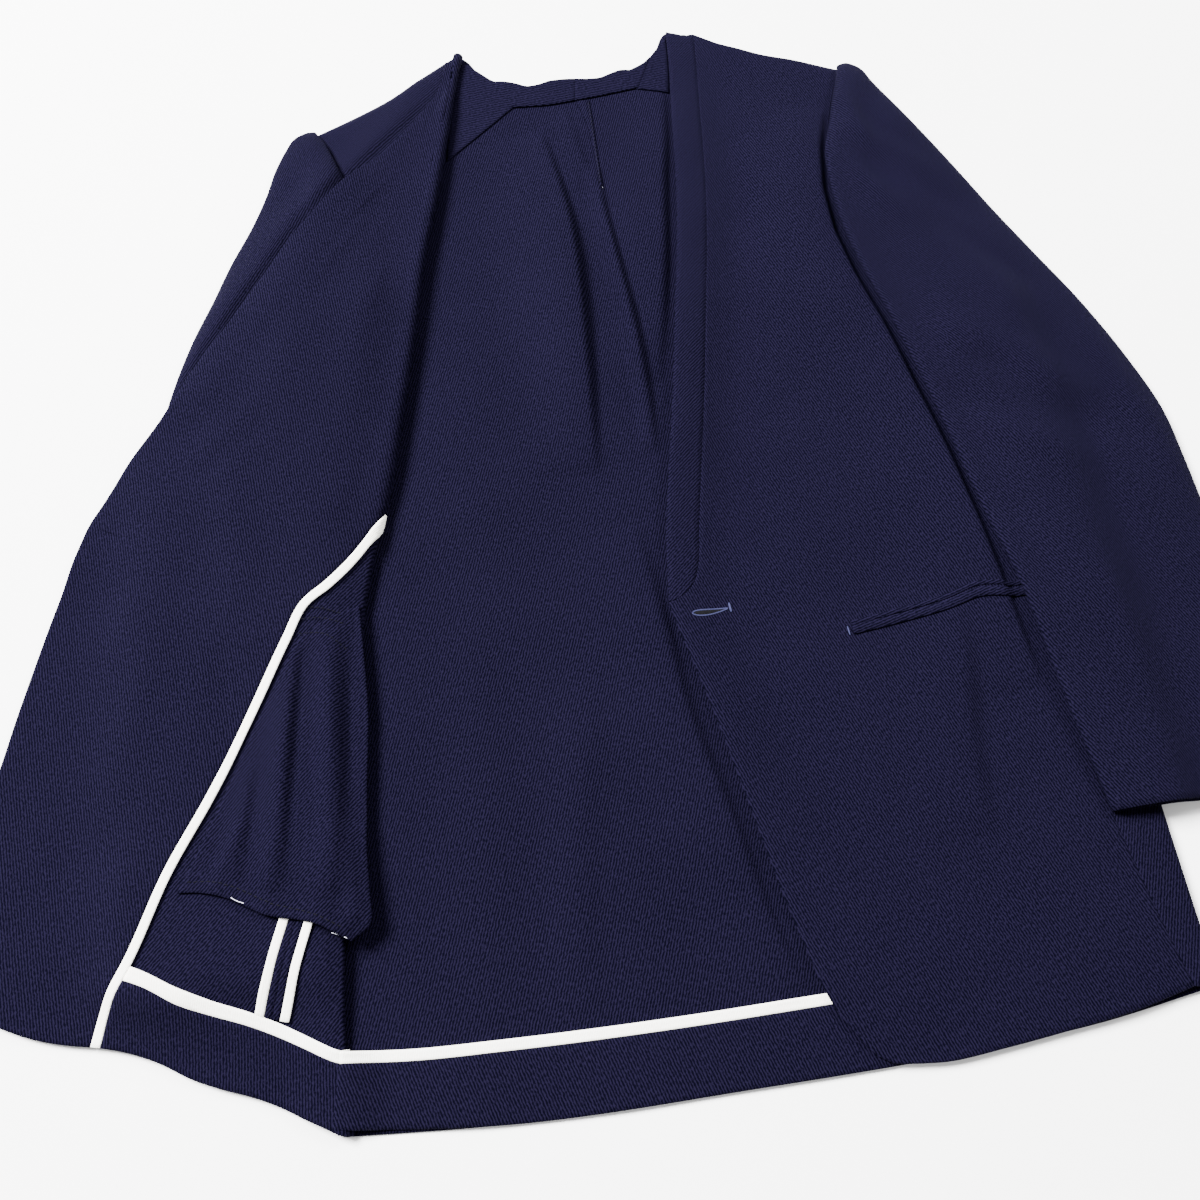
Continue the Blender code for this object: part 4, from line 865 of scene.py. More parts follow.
# %% Measuring a cloth, and laying one on another
def size_of(grid):
    """A grid's mean length along its rows and columns, and its area, in metres."""
    across = np.linalg.norm(np.diff(grid, axis=1), axis=2)
    up = np.linalg.norm(np.diff(grid, axis=0), axis=2)
    one = grid[1:, 1:] - grid[:-1, :-1]
    two = grid[1:, :-1] - grid[:-1, 1:]
    area = np.linalg.norm(np.cross(one, two), axis=-1).sum() / 2
    return across.sum(axis=1).max() * MM, up.sum(axis=0).max() * MM, area * MM * MM


def tree_of(grid):
    """A search tree for dropping trimmings onto a panel."""
    return BVHTree.FromPolygons(grid.reshape(-1, 3).tolist(), quads_of(grid)[1].tolist())


def laid_on(tree, plan, rise):
    """A grid that lies on a panel: plan points, dropped onto it and raised."""
    heights = []
    for x, y in plan.reshape(-1, 2):
        hit = tree.ray_cast(Vector((x, y, DROP_FROM)), Vector((0, 0, -1)))[0]
        heights.append(hit.z if hit else tree.find_nearest(Vector((x, y, NEAR_LEVEL)))[0].z)
    return lifted(plan, np.array(heights).reshape(plan.shape[:-1]) + rise)


def finer_plan(plan, step):
    """The plan points of a finer grid."""
    return finer(lifted(plan, np.zeros(plan.shape[:-1])), step)[0][..., :2]


# %% [markdown]
# ## Wear
#
# A jacket that has been folded and laid out keeps soft troughs and ridges: along old folds, round the
# armholes, at the elbows. Each row of these tables is one, with its own length, width and depth. A slow
# unevenness of less than half a millimetre keeps the flat stretches from looking like card.

# %% Creases: across and up at both ends, half width, rise
BACK_CREASES = [(-110, -560, -60, -700, 24, 0.8), (150, -200, 120, -520, 26, 1.2),
                (-150, -330, -166, -560, 18, 1.2), (-60, -420, -20, -640, 30, 1.0)]
FRONT_CREASES = [(150, -90, 175, -230, 14, 1.6), (120, -150, 170, -260, 18, 1.4),
                 (60, -430, 120, -600, 26, 1.2), (180, -330, 205, -470, 10, 1.4),
                 (150, -560, 190, -700, 22, 1.4), (95, -60, 60, -300, 16, 1.0),
                 (40, -560, 84, -690, 12, 0.9)]
OPEN_CREASES = [(-190, -120, -240, -330, 20, 2.0), (-300, -330, -350, -560, 26, 1.6),
                (-330, -560, -380, -630, 20, 1.4), (-215, -150, -160, -230, 14, 1.4),
                (-250, -350, -290, -540, 16, 1.2), (-150, -150, -175, -330, 12, 1.2)]
BAG_CREASES = [(-256, -550, -278, -592, 4, 1.4), (-240, -560, -248, -606, 3.5, 1.2)]
LEFT_SLEEVE_CREASES = [(178, -120, 235, -175, 9, 2.0), (172, -160, 250, -230, 11, 2.4),
                       (190, -330, 300, -360, 12, 2.2), (195, -360, 280, -410, 9, 1.8),
                       (230, -430, 290, -560, 16, 1.6), (300, -300, 330, -420, 9, 1.4),
                       (215, -250, 290, -300, 14, 1.4), (215, -480, 260, -600, 10, 1.2),
                       (216, -318, 292, -392, 12, -3.6), (208, -296, 296, -356, 10, 2.0),
                       (176, -128, 214, -204, 8, -2.4), (186, -88, 196, -150, 6, 1.6)]
RIGHT_SLEEVE_CREASES = [(-172, -150, -240, -200, 10, 1.8), (-180, -320, -280, -350, 11, 1.8),
                        (-230, -420, -280, -560, 14, 1.4), (-190, -210, -270, -260, 12, 1.2)]


# %% Folds that follow a curve: the line, reach to its left and right, rise
BACK_CURVES = [
    ([(-31, -84), (-25, -125), (-20.5, -174), (-22, -227), (-26, -286), (-32, -360)], 32, 4.2, 9.8),
    ([(5, -120), (4, -142), (6, -199), (9, -248), (10, -300), (8, -350)], 5.5, 3.4, 7.4),
    ([(61, -58), (56, -100), (49, -137), (39, -199), (28, -254), (17, -300)], 26, 4.2, 5.6),
    ([(-14, -400), (-9, -457), (-3, -520), (11, -590), (23, -656), (33, -690)], 28, 5, 5.6),
    ([(-10, -66), (-7, -95), (-3, -120), (-1, -140)], 18, 4, 1.8),
    ([(-60, -500), (-73, -580), (-84, -650), (-88, -690)], 14, 10, 2.0),
    ([(-128, -420), (-122, -500), (-128, -600), (-136, -680)], 20, 16, 1.4),
]
FRONT_CURVES = [
    ([(74, -20), (66, -87), (50, -199), (29, -305), (6, -412), (-1, -457), (12, -517), (25, -590),
      (37, -656), (49, -700)], 20, 24, 5.2),
    ([(166, -478), (163, -520), (154, -570), (150, -620)], 26, 8, 3.6),
    ([(172, -96), (159, -142), (154.5, -176), (154.5, -208), (160, -240), (171, -283), (180, -331),
      (187, -373), (192, -410), (198, -460), (204, -540)], 38, 3.5, 7.2),
]
V_LINE = [(-97, -28), (-107, -42), (-119, -56), (-142, -78), (-160, -96), (-178, -113), (-205, -146),
          (-228, -175), (-255, -211), (-276, -238), (-300, -275)]
BESIDE_V = [(V_LINE, 14, 3.6, 3.6)]
ALONG_V = [(RIGHT_V[::-1], 12, 16, 2.2)]
BAG_CURVES = [([(-252, -520), (-259, -560), (-266, -592)], 8, 3.5, 3.0),
              ([(-222, -450), (-232, -520), (-241, -594)], 10, 3.5, 5.2),
              ([(-201, -445), (-205, -520), (-209, -600)], 8, 6, 5.4)]
EDGE_CURVES = [([(-203, -560), (-209, -600), (-213, -640), (-214, -684)], 14, 30, 5.0)]


def curved_folds(plan, table):
    """The rise of folds that follow smooth lines, each with its own reach to the left and right."""
    rise = np.zeros(plan.shape[:-1])
    for line, left, right, height in table:
        far, side, along = nearest_on(rail(line, even(12)), plan)
        reach = np.where(side > 0, right, left)
        bell = np.clip(1 - (far / (FOLD_SPREAD * reach)) ** 2, 0, 1) ** 3
        rise += height * bell * np.sin(math.pi * along) ** CURVE_FADE
    return rise


# %% Unevenness of each panel: wave length, height and the seed of its draws
BACK_WAVES = (90, 0.25, 3)
FRONT_WAVES = (85, 0.25, 5)
OPEN_WAVES = (80, 0.3, 7)
SLEEVE_WAVES = (60, 0.5)
WAVE_COUNT = 8
WAVE_SPREAD = (0.6, 1.7)
WAVE_SUM = 3


def uneven(plan, wave, height, seed):
    """A slow unevenness made of a few crossing waves."""
    draw = np.random.default_rng(seed)
    total = np.zeros(plan.shape[:-1])
    for _ in range(WAVE_COUNT):
        angle = draw.uniform(0, math.pi)
        length = wave * draw.uniform(*WAVE_SPREAD)
        phase = draw.uniform(0, 2 * math.pi)
        way = np.array([math.cos(angle), math.sin(angle)])
        total += np.sin(plan @ way * 2 * math.pi / length + phase)
    return total * height / WAVE_SUM


def worn_front(grid):
    """A grid of the left front or its band, with creases, folds and unevenness."""
    plan = grid[..., :2]
    rise = folds(plan, FRONT_CREASES) + curved_folds(plan, FRONT_CURVES) + uneven(plan, *FRONT_WAVES)
    return lifted(plan, grid[..., 2] + rise)


# %% [markdown]
# ## Back
#
# The back lies on the surface with its inner side up. Its left edge turns up and over to the side seam,
# where the left front begins. A pressed centre dart runs down from the neck.

# %% Back panel
BACK_STEP = 2.8
BACK_COLUMN_STEPS = [3.6] * 6 + [1.8] * 5 + [3.6] * 13
BACK_LIFT = 0.25
LIFT_COLUMNS = 1.5
back_fine, _, back_columns = finer(back_grid(), BACK_STEP, BACK_COLUMN_STEPS)
flat_part = ramp(BACK_COLUMNS - back_columns, 0.0, LIFT_COLUMNS)[None, :]
plan = back_fine[..., :2]
lift = folds(plan, BACK_CREASES) + curved_folds(plan, BACK_CURVES) + BACK_LIFT + uneven(plan, *BACK_WAVES)
back_fine[..., 2] += np.maximum(lift, 0) * flat_part
back = cloth("back_panel", back_fine, ["back"], turn=RIBS_BACK)
back_tree = tree_of(back_fine[:, :nearest(back_columns, BACK_COLUMNS) + 1])

# %% Dart, neck band and shoulder facings
DART_WALL = 0.8
NECK_WALL = 0.9
NECK_RISE = 1.3
NECK_PARTS = 7
TRIM_STEP = 2.5


def trim(name, tree, plan, rise, node, **looks):
    """A small piece that lies on a panel and stands for its solid."""
    grid = laid_on(tree, finer_plan(plan, TRIM_STEP), rise)
    return cloth(name, grid, [node], **looks), grid


dart_plan = np.stack([rail(DART_FOLD, even(8)), rail(DART_STITCHES, even(8))], axis=1)[::-1]
dart, dart_grid = trim("centre_back_dart", back_tree, dart_plan, NECK_RISE, "back_dart", wall=DART_WALL,
                       turn=RIBS_DART)
neck_top = rail(NECK_BAND_TOP, even(2 * NECK_PARTS))
neck_foot = rail(NECK_BAND_FOOT, even(2 * NECK_PARTS))
neck_plan = between(neck_foot, neck_top, 2)
halves = {"right": neck_plan[:, :NECK_PARTS + 1].copy(), "left": neck_plan[:, NECK_PARTS:].copy()}
halves["right"][:, -1, 0] -= SEAM / 2
halves["left"][:, 0, 0] += SEAM / 2
neck_looks = {"wall": NECK_WALL, "turn": RIBS_NECK}
for side, plan in halves.items():
    trim("neck_band_" + side, back_tree, plan, LAY, "back_neck_band_" + side,
                            **neck_looks)
for side, corners in FACING_ENDS.items():
    one, two = (rail(line, even(6)) for line in corners)
    plan = between(one, two, 3).swapaxes(0, 1)
    trim("shoulder_facing_" + side, back_tree, plan, NECK_RISE, side + "_shoulder_facing",
                            **neck_looks)

# %% [markdown]
# ## Left front
#
# The closed front lies right side out over the back. Its neckline carries a band of the same cloth, sewn
# on along a seam 20 mm from the edge. The pocket has two narrow lips and slants up toward the side.

# %% Left front and its band
FRONT_STEP = 2.6
FRONT_COLUMN_STEPS = [2.8] * 7 + [1.6] * 5
BAND_STEP = 3.0
coarse_front, coarse_band = left_front_parts()
front_fine = worn_front(finer(coarse_front, FRONT_STEP, FRONT_COLUMN_STEPS)[0])
left_front = cloth("left_front_panel", front_fine, ["left_front"], turn=RIBS_FRONT)
front_tree = tree_of(front_fine)
band_fine = worn_front(finer(coarse_band, BAND_STEP)[0])
left_band = cloth("left_neckline_band", band_fine, ["left_neck_band"], turn=RIBS_BAND)

# %% Pocket lips: line, width, wall, rise
LIPS = {
    "upper": ([(106, -485.0), (135.5, -481.1), (164.5, -477.2), (186.3, -472.6), (204.9, -475.2),
               (229, -474)], 2.6, 0.6, 0.95),
    "lower": ([(105.6, -489.3), (137, -485.9), (164, -482.7), (185, -478.4), (204, -480.8), (229, -480)],
              5.2, 1.0, 1.4),
}
for name, (line, width, wall, rise) in LIPS.items():
    strip = strip_plan(rail(line, even(20)), width)
    (trim("pocket_lip_" + name, front_tree, strip, rise, "left_pocket_" + name + "_jet",
                     wall=wall, turn=RIBS_POCKET)[0])

# %% [markdown]
# ## Right front
#
# This panel goes from its front edge over the turned-open part to the fold, round it, and back under
# itself to the side seam: one sheet, as it is cut. The facing, the hem and their white binding lie on it.

# %% Right front
PINCH = 0.8
PINCH_UP = (-60, -10)
PINCH_LEAST = 1.9
OPEN_STEP = 3.5
coarse_right, coarse_open = right_front_parts()
last = coarse_open.shape[1] - 1
right_fine, right_rows, right_columns = finer(coarse_right, OPEN_STEP)
open_part = ramp(last - right_columns, 0.0, 1.0)[None, :]
plan = right_fine[..., :2]
right_fine[..., 2] += open_part * (folds(plan, OPEN_CREASES) + uneven(plan, *OPEN_WAVES))
right_fine[..., 2] += curved_folds(plan, EDGE_CURVES) + open_part * curved_folds(plan, ALONG_V)
right_fine[..., 2] += (right_columns > last + ROLL_STEPS)[None, :] * curved_folds(plan, BESIDE_V)
start_column = nearest(right_columns, last)
end_column = nearest(right_columns, last + ROLL_STEPS)
edge_column = nearest(right_columns, 1)
under = middle_height(plan[:, :end_column])
over = right_fine[:, :end_column, 2] - under
pinch = 1 - PINCH * ramp(right_fine[:, start_column, 1], *PINCH_UP)
pinch = np.maximum(pinch, PINCH_LEAST / over[:, start_column])[:, None]
right_fine[:, :end_column, 2] = under + over * np.minimum(pinch, 1)
right_panel = right_fine[:, edge_column:]
right_front = cloth("right_front_panel", right_panel, ["right_front"], turn=RIBS_OPEN)

# %% Neckline band of the right front
strip = right_fine[nearest(right_rows, EDGE_ROWS + 1):, :edge_column + 1]
edge = strip[:, 0]
seam = strip[:, -1] - np.pad(outward(strip[:, -1]) * GAP, ((0, 0), (0, 1)))
right_band_grid = np.stack([edge, (edge + seam) / 2, seam], axis=1)
right_band = cloth("right_neckline_band", right_band_grid, ["right_neck_band"], turn=RIBS_FACING)

# %% The facing's edge, measured along each row of the panel
FACING_COLUMNS = 60
FACING_PARTS = 120
ROW_POINTS = 400
right_normals = normals_of(right_fine)


def facing_stops(grid):
    """For each row: the lengths to the roll's start and end, and to the facing's edge."""
    edge = rail(FACING_EDGE, even(FACING_PARTS))
    stops = []
    for points in grid:
        run = row_length(points)
        start = run[start_column]
        end = run[end_column]
        stop = start + TIP_WRAP * (end - start)
        if points[start_column, 1] <= TIP_UP:
            dense = np.linspace(0, (start + end) / 2, ROW_POINTS)
            across = np.interp(dense, run, points[:, 0])
            level = np.interp(dense, run, points[:, 1])
            past = across - np.interp(level, edge[:, 1], edge[:, 0])
            first = int(np.argmax(past > 0))
            if past[first] > 0:
                part = past[first - 1] / (past[first - 1] - past[first])
                stop = dense[first - 1] + part * (dense[first] - dense[first - 1])
        stops.append((start, end, stop))
    return np.array(stops)


def strip_on(rows, normals, starts, ends, columns, rise):
    """A piece on rows of the panel between two lengths along each of them."""
    grid = []
    for points, normal, start, end in zip(rows, normals, starts, ends):
        grid.append(along_row(points, normal, np.linspace(start, end, columns + 1), rise))
    return np.array(grid)


starts, ends, stops = facing_stops(right_fine).T
facing_rise = LAY + HANG_GAP
insets = np.full(len(right_fine), FACING_INSET)
facing_grid = strip_on(right_fine, right_normals, insets, stops, FACING_COLUMNS, facing_rise)
facing = cloth("right_front_facing_panel", facing_grid, ["right_front_facing"], turn=RIBS_FACING)

# %% Binding of the facing's edge
TAPE_WRAP = 0.7
TIP_CLOSE = 0.01
TAPE_LOOKS = {"finish": white_tape, "wall": TAPE_WALL, "slot": "white_tape"}
tangent = unit(np.gradient(facing_grid[:, -1, :2], axis=0))
way = unit(right_fine[:, start_column, :2] - right_fine[:, edge_column, :2])
lean = np.abs(way[:, 0] * tangent[:, 1] - way[:, 1] * tangent[:, 0])
round_fold = starts + TAPE_WRAP * (ends - starts)
fars = np.minimum(stops + TAPE_WIDTH / np.maximum(lean, LEAST_LEAN), round_fold)
tip = int(np.argmax(stops > starts + (TIP_WRAP - TIP_CLOSE) * (ends - starts)))
tape_starts = stops[:tip] + RIM_ROOM
tape_rise = facing_rise + BINDING_RISE
tape_grid = strip_on(right_fine[:tip], right_normals[:tip], tape_starts, fars[:tip], 4, tape_rise)
facing_tape = cloth("facing_tape", tape_grid, ["facing_binding"], turn=RIBS_OPEN, **TAPE_LOOKS)

# %% Front hem and its binding
HEM_TAPE_REACH = 0.27
HEM_TAPE_GAP = 0.04
HEM_ROW_GAP = 0.1
HEM_COLUMNS = 50
tape_low = HEM_LEVEL - HEM_TAPE_REACH
tape_high = HEM_LEVEL + HEM_TAPE_REACH
hem_rows = right_rows[right_rows < tape_low - HEM_ROW_GAP]
hem_levels = np.concatenate([hem_rows, [tape_low - HEM_TAPE_GAP]])
tape_levels = np.linspace(tape_low, tape_high, 5)
hem_grids = []
for wanted, rise in ((hem_levels, facing_rise), (tape_levels, tape_rise)):
    rows = read_at(right_fine, right_rows, wanted)
    normals = read_at(right_normals, right_rows, wanted)
    left = read_at(fars, right_rows, wanted) + 2 * SEAM
    right = read_at((starts + ends) / 2, right_rows, wanted)
    hem_grids.append(strip_on(rows, normals, left, right, HEM_COLUMNS, rise))
front_hem = cloth("front_hem_turned_up", hem_grids[0], ["right_front_hem"], turn=RIBS_FRONT_HEM)
front_tape = cloth("front_hem_tape", hem_grids[1], ["front_hem_binding"], **TAPE_LOOKS)

# %% [markdown]
# ## Pocket bag and side seam
#
# The bag of the right pocket hangs loose inside, held only at the pocket, so it falls in long soft folds.
# Under it the side seam is pressed open, with white tape on both raw edges.

# %% The side seam's allowances and tapes
SEAM_FOOT_ACROSS = -249.0
SEAM_FOOT_UP = 1.0


def shelf_of(opened, fold):
    """The turned-open cloth carried on level past its fold, for what lies near the fold."""
    aside = outward(fold)
    beyond = [opened[:, -1] + np.pad(aside * reach, ((0, 0), (0, 1))) for reach in SHELF_REACH]
    return np.concatenate([opened, np.stack(beyond, axis=1)], axis=1)


open_fine = right_fine[:, edge_column:start_column + 1]
fine_fold = open_fine[:, -1]
shelf_tree = tree_of(shelf_of(open_fine, fine_fold))
tape_edge = hem_grids[1][-1]
foot_up = np.interp(SEAM_FOOT_ACROSS, tape_edge[:, 0], tape_edge[:, 1]) + SEAM_FOOT_UP
seam_line = rail([(SEAM_FOOT_ACROSS, foot_up), *SIDE_SEAM_INSIDE], even(12))
aside = outward(seam_line)
for side, out in (("front", -1), ("back", 1)):
    allowance = seam_line + aside * out * (SEAM + ALLOWANCE) / 2
    (trim("seam_allowance_" + side, shelf_tree, strip_plan(allowance, ALLOWANCE, 1),
                            facing_rise, "side_allowance_" + side, turn=RIBS_OPEN)[0])
    middle = seam_line + aside * out * (SEAM + RIM_ROOM + ALLOWANCE + SIDE_TAPE_WIDTH / 2)
    (trim("seam_tape_" + side, shelf_tree, strip_plan(middle, SIDE_TAPE_WIDTH, 3),
                            tape_rise, "side_binding_" + side, **TAPE_LOOKS)[0])

# %% Pocket bag
BAG_RISE = 3.1
BAG_RISE_UP = (-520, -590)
BAG_RISE_ACROSS = (-290.0, -235.0)
BAG_ROLL = 9.5
BAG_STEP = 1.6
bag_ends = rail(BAG_LINE, even(10)), rail(BAG_TOP, even(10))
bag_sides = rail(BAG_LEFT, even(12)), rail(BAG_RIGHT, even(12))
bag_plan = finer_plan(patch(*bag_ends, *bag_sides), BAG_STEP)
bag_rise = LAY + BAG_RISE * ramp(bag_plan[..., 1], *BAG_RISE_UP) * ramp(bag_plan[..., 0], *BAG_RISE_ACROSS)
bag_rise = bag_rise + np.maximum(folds(bag_plan, BAG_CREASES) + curved_folds(bag_plan, BAG_CURVES), 0)
bag_edge = nearest_on(bag_sides[1], bag_plan)[0]
bag_rise = LAY + (bag_rise - LAY) * ramp(bag_edge, 0, BAG_ROLL)
bag_grid = laid_on(shelf_tree, bag_plan, bag_rise)
bag = cloth("pocket_bag_cloth", bag_grid, ["pocket_bag"], turn=RIBS_BAG)

# %% [markdown]
# The hem is the panel's own end, turned up 40 mm. Its raw edge is bound with white tape, which stands a
# little higher than the cloth because it goes round the edge. At the side the hem climbs in one soft slope
# from the back onto the turned-open front, so the two meet without a step.

# %% Back hem and its binding
SLOPE_ACROSS = (-190.0, -214.0)
HEM_ENDS = [(-221, -718), (246, -718.5)]
HEM_PARTS = 48


def sloped(plan, rise):
    """A grid on the back that climbs onto the turned-open front at the side."""
    on_back = laid_on(back_tree, plan, rise)
    on_front = laid_on(shelf_tree, plan, rise + HANG_GAP + SEAM)
    share = ramp(-plan[..., 0], *(-place for place in SLOPE_ACROSS))
    return lifted(plan, on_back[..., 2] * (1 - share) + on_front[..., 2] * share)


hem_line = rail(BACK_HEM_LINE, even(HEM_PARTS))
hem_foot = rail([HEM_ENDS[0], *BACK_HEM[1:-1], HEM_ENDS[1]], even(HEM_PARTS))
hem_head = hem_line + outward(hem_line) * (TAPE_WIDTH / 2 + RIM_ROOM)
hem_plan = finer_plan(between(hem_foot, hem_head, 3), TRIM_STEP)
back_hem_grid = sloped(hem_plan, LAY)
back_hem = cloth("back_hem_turned_up", back_hem_grid, ["back_hem"], turn=RIBS_BACK_HEM)
tape_plan = finer_plan(strip_plan(hem_line, TAPE_WIDTH, 4), TRIM_STEP)
back_tape = cloth("back_hem_tape", sloped(tape_plan, LAY + BINDING_RISE), ["back_hem_binding"], **TAPE_LOOKS)

# %% [markdown]
# ## Sleeves
#
# A sleeve lies empty, so its section is a flat tube: a low dome over a flat under side, rounded where the
# cloth turns. Sections down the arm, each with its own inner and outer edge and rise, make one tube.

# %% Sleeve tubes
SLEEVE_TURN = 1.3
SLEEVE_AROUND = 96
SLEEVE_ROWS = 140
ROWS_CROWD = 1.15
CROWN_LEAST = 0.4
TOP_PART = (0.15, 0.8)
CREASE_DEPTH = 0.6
EDGE_UP = [(-60, 0.0), (-100, 2.0), (-150, 7.0), (-330, 7.5), (-460, 5.5), (-560, 3.5), (-620, 0.0)]
EDGE_REACH = 20.0


def sleeve(name, table, rest, creases, side, seed, replaced):
    """One sleeve as a closed tube; side is 1 for the left one and -1 for the right."""
    ups = np.array([row[0] for row in table], float)
    rows = np.linspace(0, 1, SLEEVE_ROWS) ** ROWS_CROWD * (ups[-1] - ups[0]) + ups[0]
    inner, outer, rise = (table_column(table, number, rows)[:, None] for number in (1, 2, 3))
    turn = np.linspace(math.pi, -math.pi, SLEEVE_AROUND + 1)[None, :]
    circle = np.array([np.cos(turn), np.sin(turn)])
    spread, dome = np.sign(circle) * np.abs(circle) ** (2 / SLEEVE_POWER)
    across = inner + (outer - inner) * (spread + 1) / 2
    plan = np.stack([across, np.repeat(rows[:, None], across.shape[1], axis=1)], axis=-1)
    at_edge = 1 - ramp(across - inner, 0.0, EDGE_REACH)
    edge_up = table_column(EDGE_UP, 1, rows)[:, None] * at_edge * (side > 0)
    level = rest(plan) + WALL / 2 + SLEEVE_TURN + edge_up
    crown = np.maximum(rise - WALL / 2 - SLEEVE_TURN - edge_up, CROWN_LEAST)
    height = level + np.where(dome > 0, crown * dome, SLEEVE_TURN * dome)
    crease = folds(plan, creases) + uneven(plan, *SLEEVE_WAVES, seed)
    crease = crease + (side < 0) * curved_folds(plan, BESIDE_V)
    height = height + ramp(dome, *TOP_PART) * np.maximum(crease, -CREASE_DEPTH * crown)
    grid = lifted(plan, height)[::-1]
    run = np.array([row_length(points) for points in grid])
    grain = np.stack([run - run[:, [SLEEVE_AROUND // 4]], plan[::-1, :, 1]], axis=-1)
    if side < 0:
        grid = grid[:, ::-1]
        grain = grain[:, ::-1]
    return cloth(name, grid, replaced, turn=RIBS_SLEEVE, grain=grain), grid


left_sleeve, left_tube = sleeve("left_sleeve", LEFT_SLEEVE, left_rest, LEFT_SLEEVE_CREASES, 1, 11,
                                ("left_sleeve_top", "left_sleeve_under"))
right_sleeve, right_tube = sleeve("right_sleeve", RIGHT_SLEEVE, right_rest, RIGHT_SLEEVE_CREASES, -1, 13,
                                  ("right_sleeve_top", "right_sleeve_under"))

# %% [markdown]
# ## Sewing that shows
#
# Each visible stitch is a short rounded piece of thread, half sunk in the cloth. A texture could draw it,
# but real thread catches the light and casts a small shadow. One function sews a row along any line.

# %% Stitches
THREAD_RINGS = [(0.0, 0.25), (0.12, 0.8), (0.35, 1.0), (0.65, 1.0), (0.88, 0.8), (1.0, 0.25)]
THREAD_SIDES = 6


def thread_bits(name, bits, width, finish):
    """Short threads, each from one point to another, joined in one piece."""
    points = []
    faces = []
    for start, end in bits:
        way = unit(end - start)
        side = unit(np.cross(way, (0, 0, 1)))
        up = np.cross(side, way)
        first = len(points)
        for place, share in THREAD_RINGS:
            for step in range(THREAD_SIDES):
                angle = 2 * math.pi * step / THREAD_SIDES
                ring = side * math.cos(angle) + up * math.sin(angle)
                points.append(start + (end - start) * place + ring * share * width / 2)
        rings = len(THREAD_RINGS)
        for level in range(rings - 1):
            for step in range(THREAD_SIDES):
                a = first + level * THREAD_SIDES + step
                b = first + level * THREAD_SIDES + (step + 1) % THREAD_SIDES
                faces.append((a, b, b + THREAD_SIDES, a + THREAD_SIDES))
        faces.append(tuple(range(first + THREAD_SIDES - 1, first - 1, -1)))
        top = first + (rings - 1) * THREAD_SIDES
        faces.append(tuple(range(top, top + THREAD_SIDES)))
    return sewn(name, points, faces, finish)


def row_of_bits(line, length, gap, wobble=0.0):
    """The ends of stitches along a line of points, a little uneven."""
    draw = np.random.default_rng(len(line))
    run = row_length(line)
    bits = []
    for start in np.arange(gap, run[-1] - length, length + gap):
        ends = []
        for place in (start, start + length):
            shift = draw.uniform(-wobble, wobble)
            ends.append(read_at(line, run, [place])[0] + (shift, shift, 0))
        bits.append(ends)
    return bits


def line_on(tree, table, rise, count=40):
    """A line of plan points dropped onto a surface."""
    return laid_on(tree, rail(table, even(count))[:, None], rise)[:, 0]


# %% Dart, bag and pocket stitching
STITCH = 2.4
STITCH_GAP = 0.9
THREAD = 0.35
SUNK_THREAD = 0.5
THREAD_RISE = 0.05
LOOSE_RISE = 0.15
BAG_GAP = 1.2
BAG_WOBBLE = 0.15
DART_SEAM = [(9.2, -62), (8.8, -76), (8.2, -94), (7.2, -118), (6.4, -138)]
DART_TAIL = [(7.0, -140), (7.8, -142)]
BAG_SEAM = [(-291, -581), (-276, -583), (-262, -589), (-244, -600), (-222, -609), (-206, -619)]
BAG_LOOSE = [(-266, -593.2), (-263, -595.4), (-259, -597.4)]
BAG_LOOSE_END = [(-213, -620.2), (-209, -622), (-205, -624.2)]
POCKET_SEAMS = [[(-223, -430), (-208, -431), (-193, -437)], [(-222, -437), (-206, -438), (-191, -444)],
                [(-221, -446), (-206, -448), (-191, -461)]]
dart_tree = tree_of(dart_grid)
bag_tree = tree_of(bag_grid)
on_dart = line_on(dart_tree, DART_SEAM, DART_WALL / 2 + THREAD_RISE)
on_bag = WALL / 2 + THREAD_RISE
thread_bits("dart_stitches", row_of_bits(on_dart, STITCH, STITCH_GAP), THREAD, navy_thread)
tail = line_on(back_tree, DART_TAIL, WALL / 2 + LOOSE_RISE, 6)
thread_bits("dart_thread_end", list(zip(tail[:-1], tail[1:])), THREAD, pale_thread)
# The bag's and pocket's seams are sewn with the near-black thread, which paints the shade along their sunk
# stitches.
bag_bits = row_of_bits(line_on(bag_tree, BAG_SEAM, on_bag), STITCH, BAG_GAP, BAG_WOBBLE)
thread_bits("bag_stitches", bag_bits, SUNK_THREAD, seam_shade_thread)
loose = []
for table in (BAG_LOOSE, BAG_LOOSE_END):
    line = line_on(bag_tree, table, on_bag, 5)
    loose += list(zip(line[:-1], line[1:]))
thread_bits("bag_tacking", loose, THREAD, pale_thread)
seam_bits = []
for line in POCKET_SEAMS:
    seam_bits += row_of_bits(line_on(bag_tree, line, on_bag, 16), STITCH, STITCH_GAP)
thread_bits("pocket_stitches", seam_bits, SUNK_THREAD, seam_shade_thread)
print("stitches at the bag and pocket:", len(bag_bits) + len(seam_bits))

# %% [markdown]
# ## Buttonhole
#
# A tailored buttonhole is a slit whose edges are covered with close purl stitches of silk twist, with a
# bar across its end. This one has been used, so it gapes at the end where the button sits. Each stitch is
# laid over the edge, and a dark leaf of cloth stands for the shaded gap between the lips.

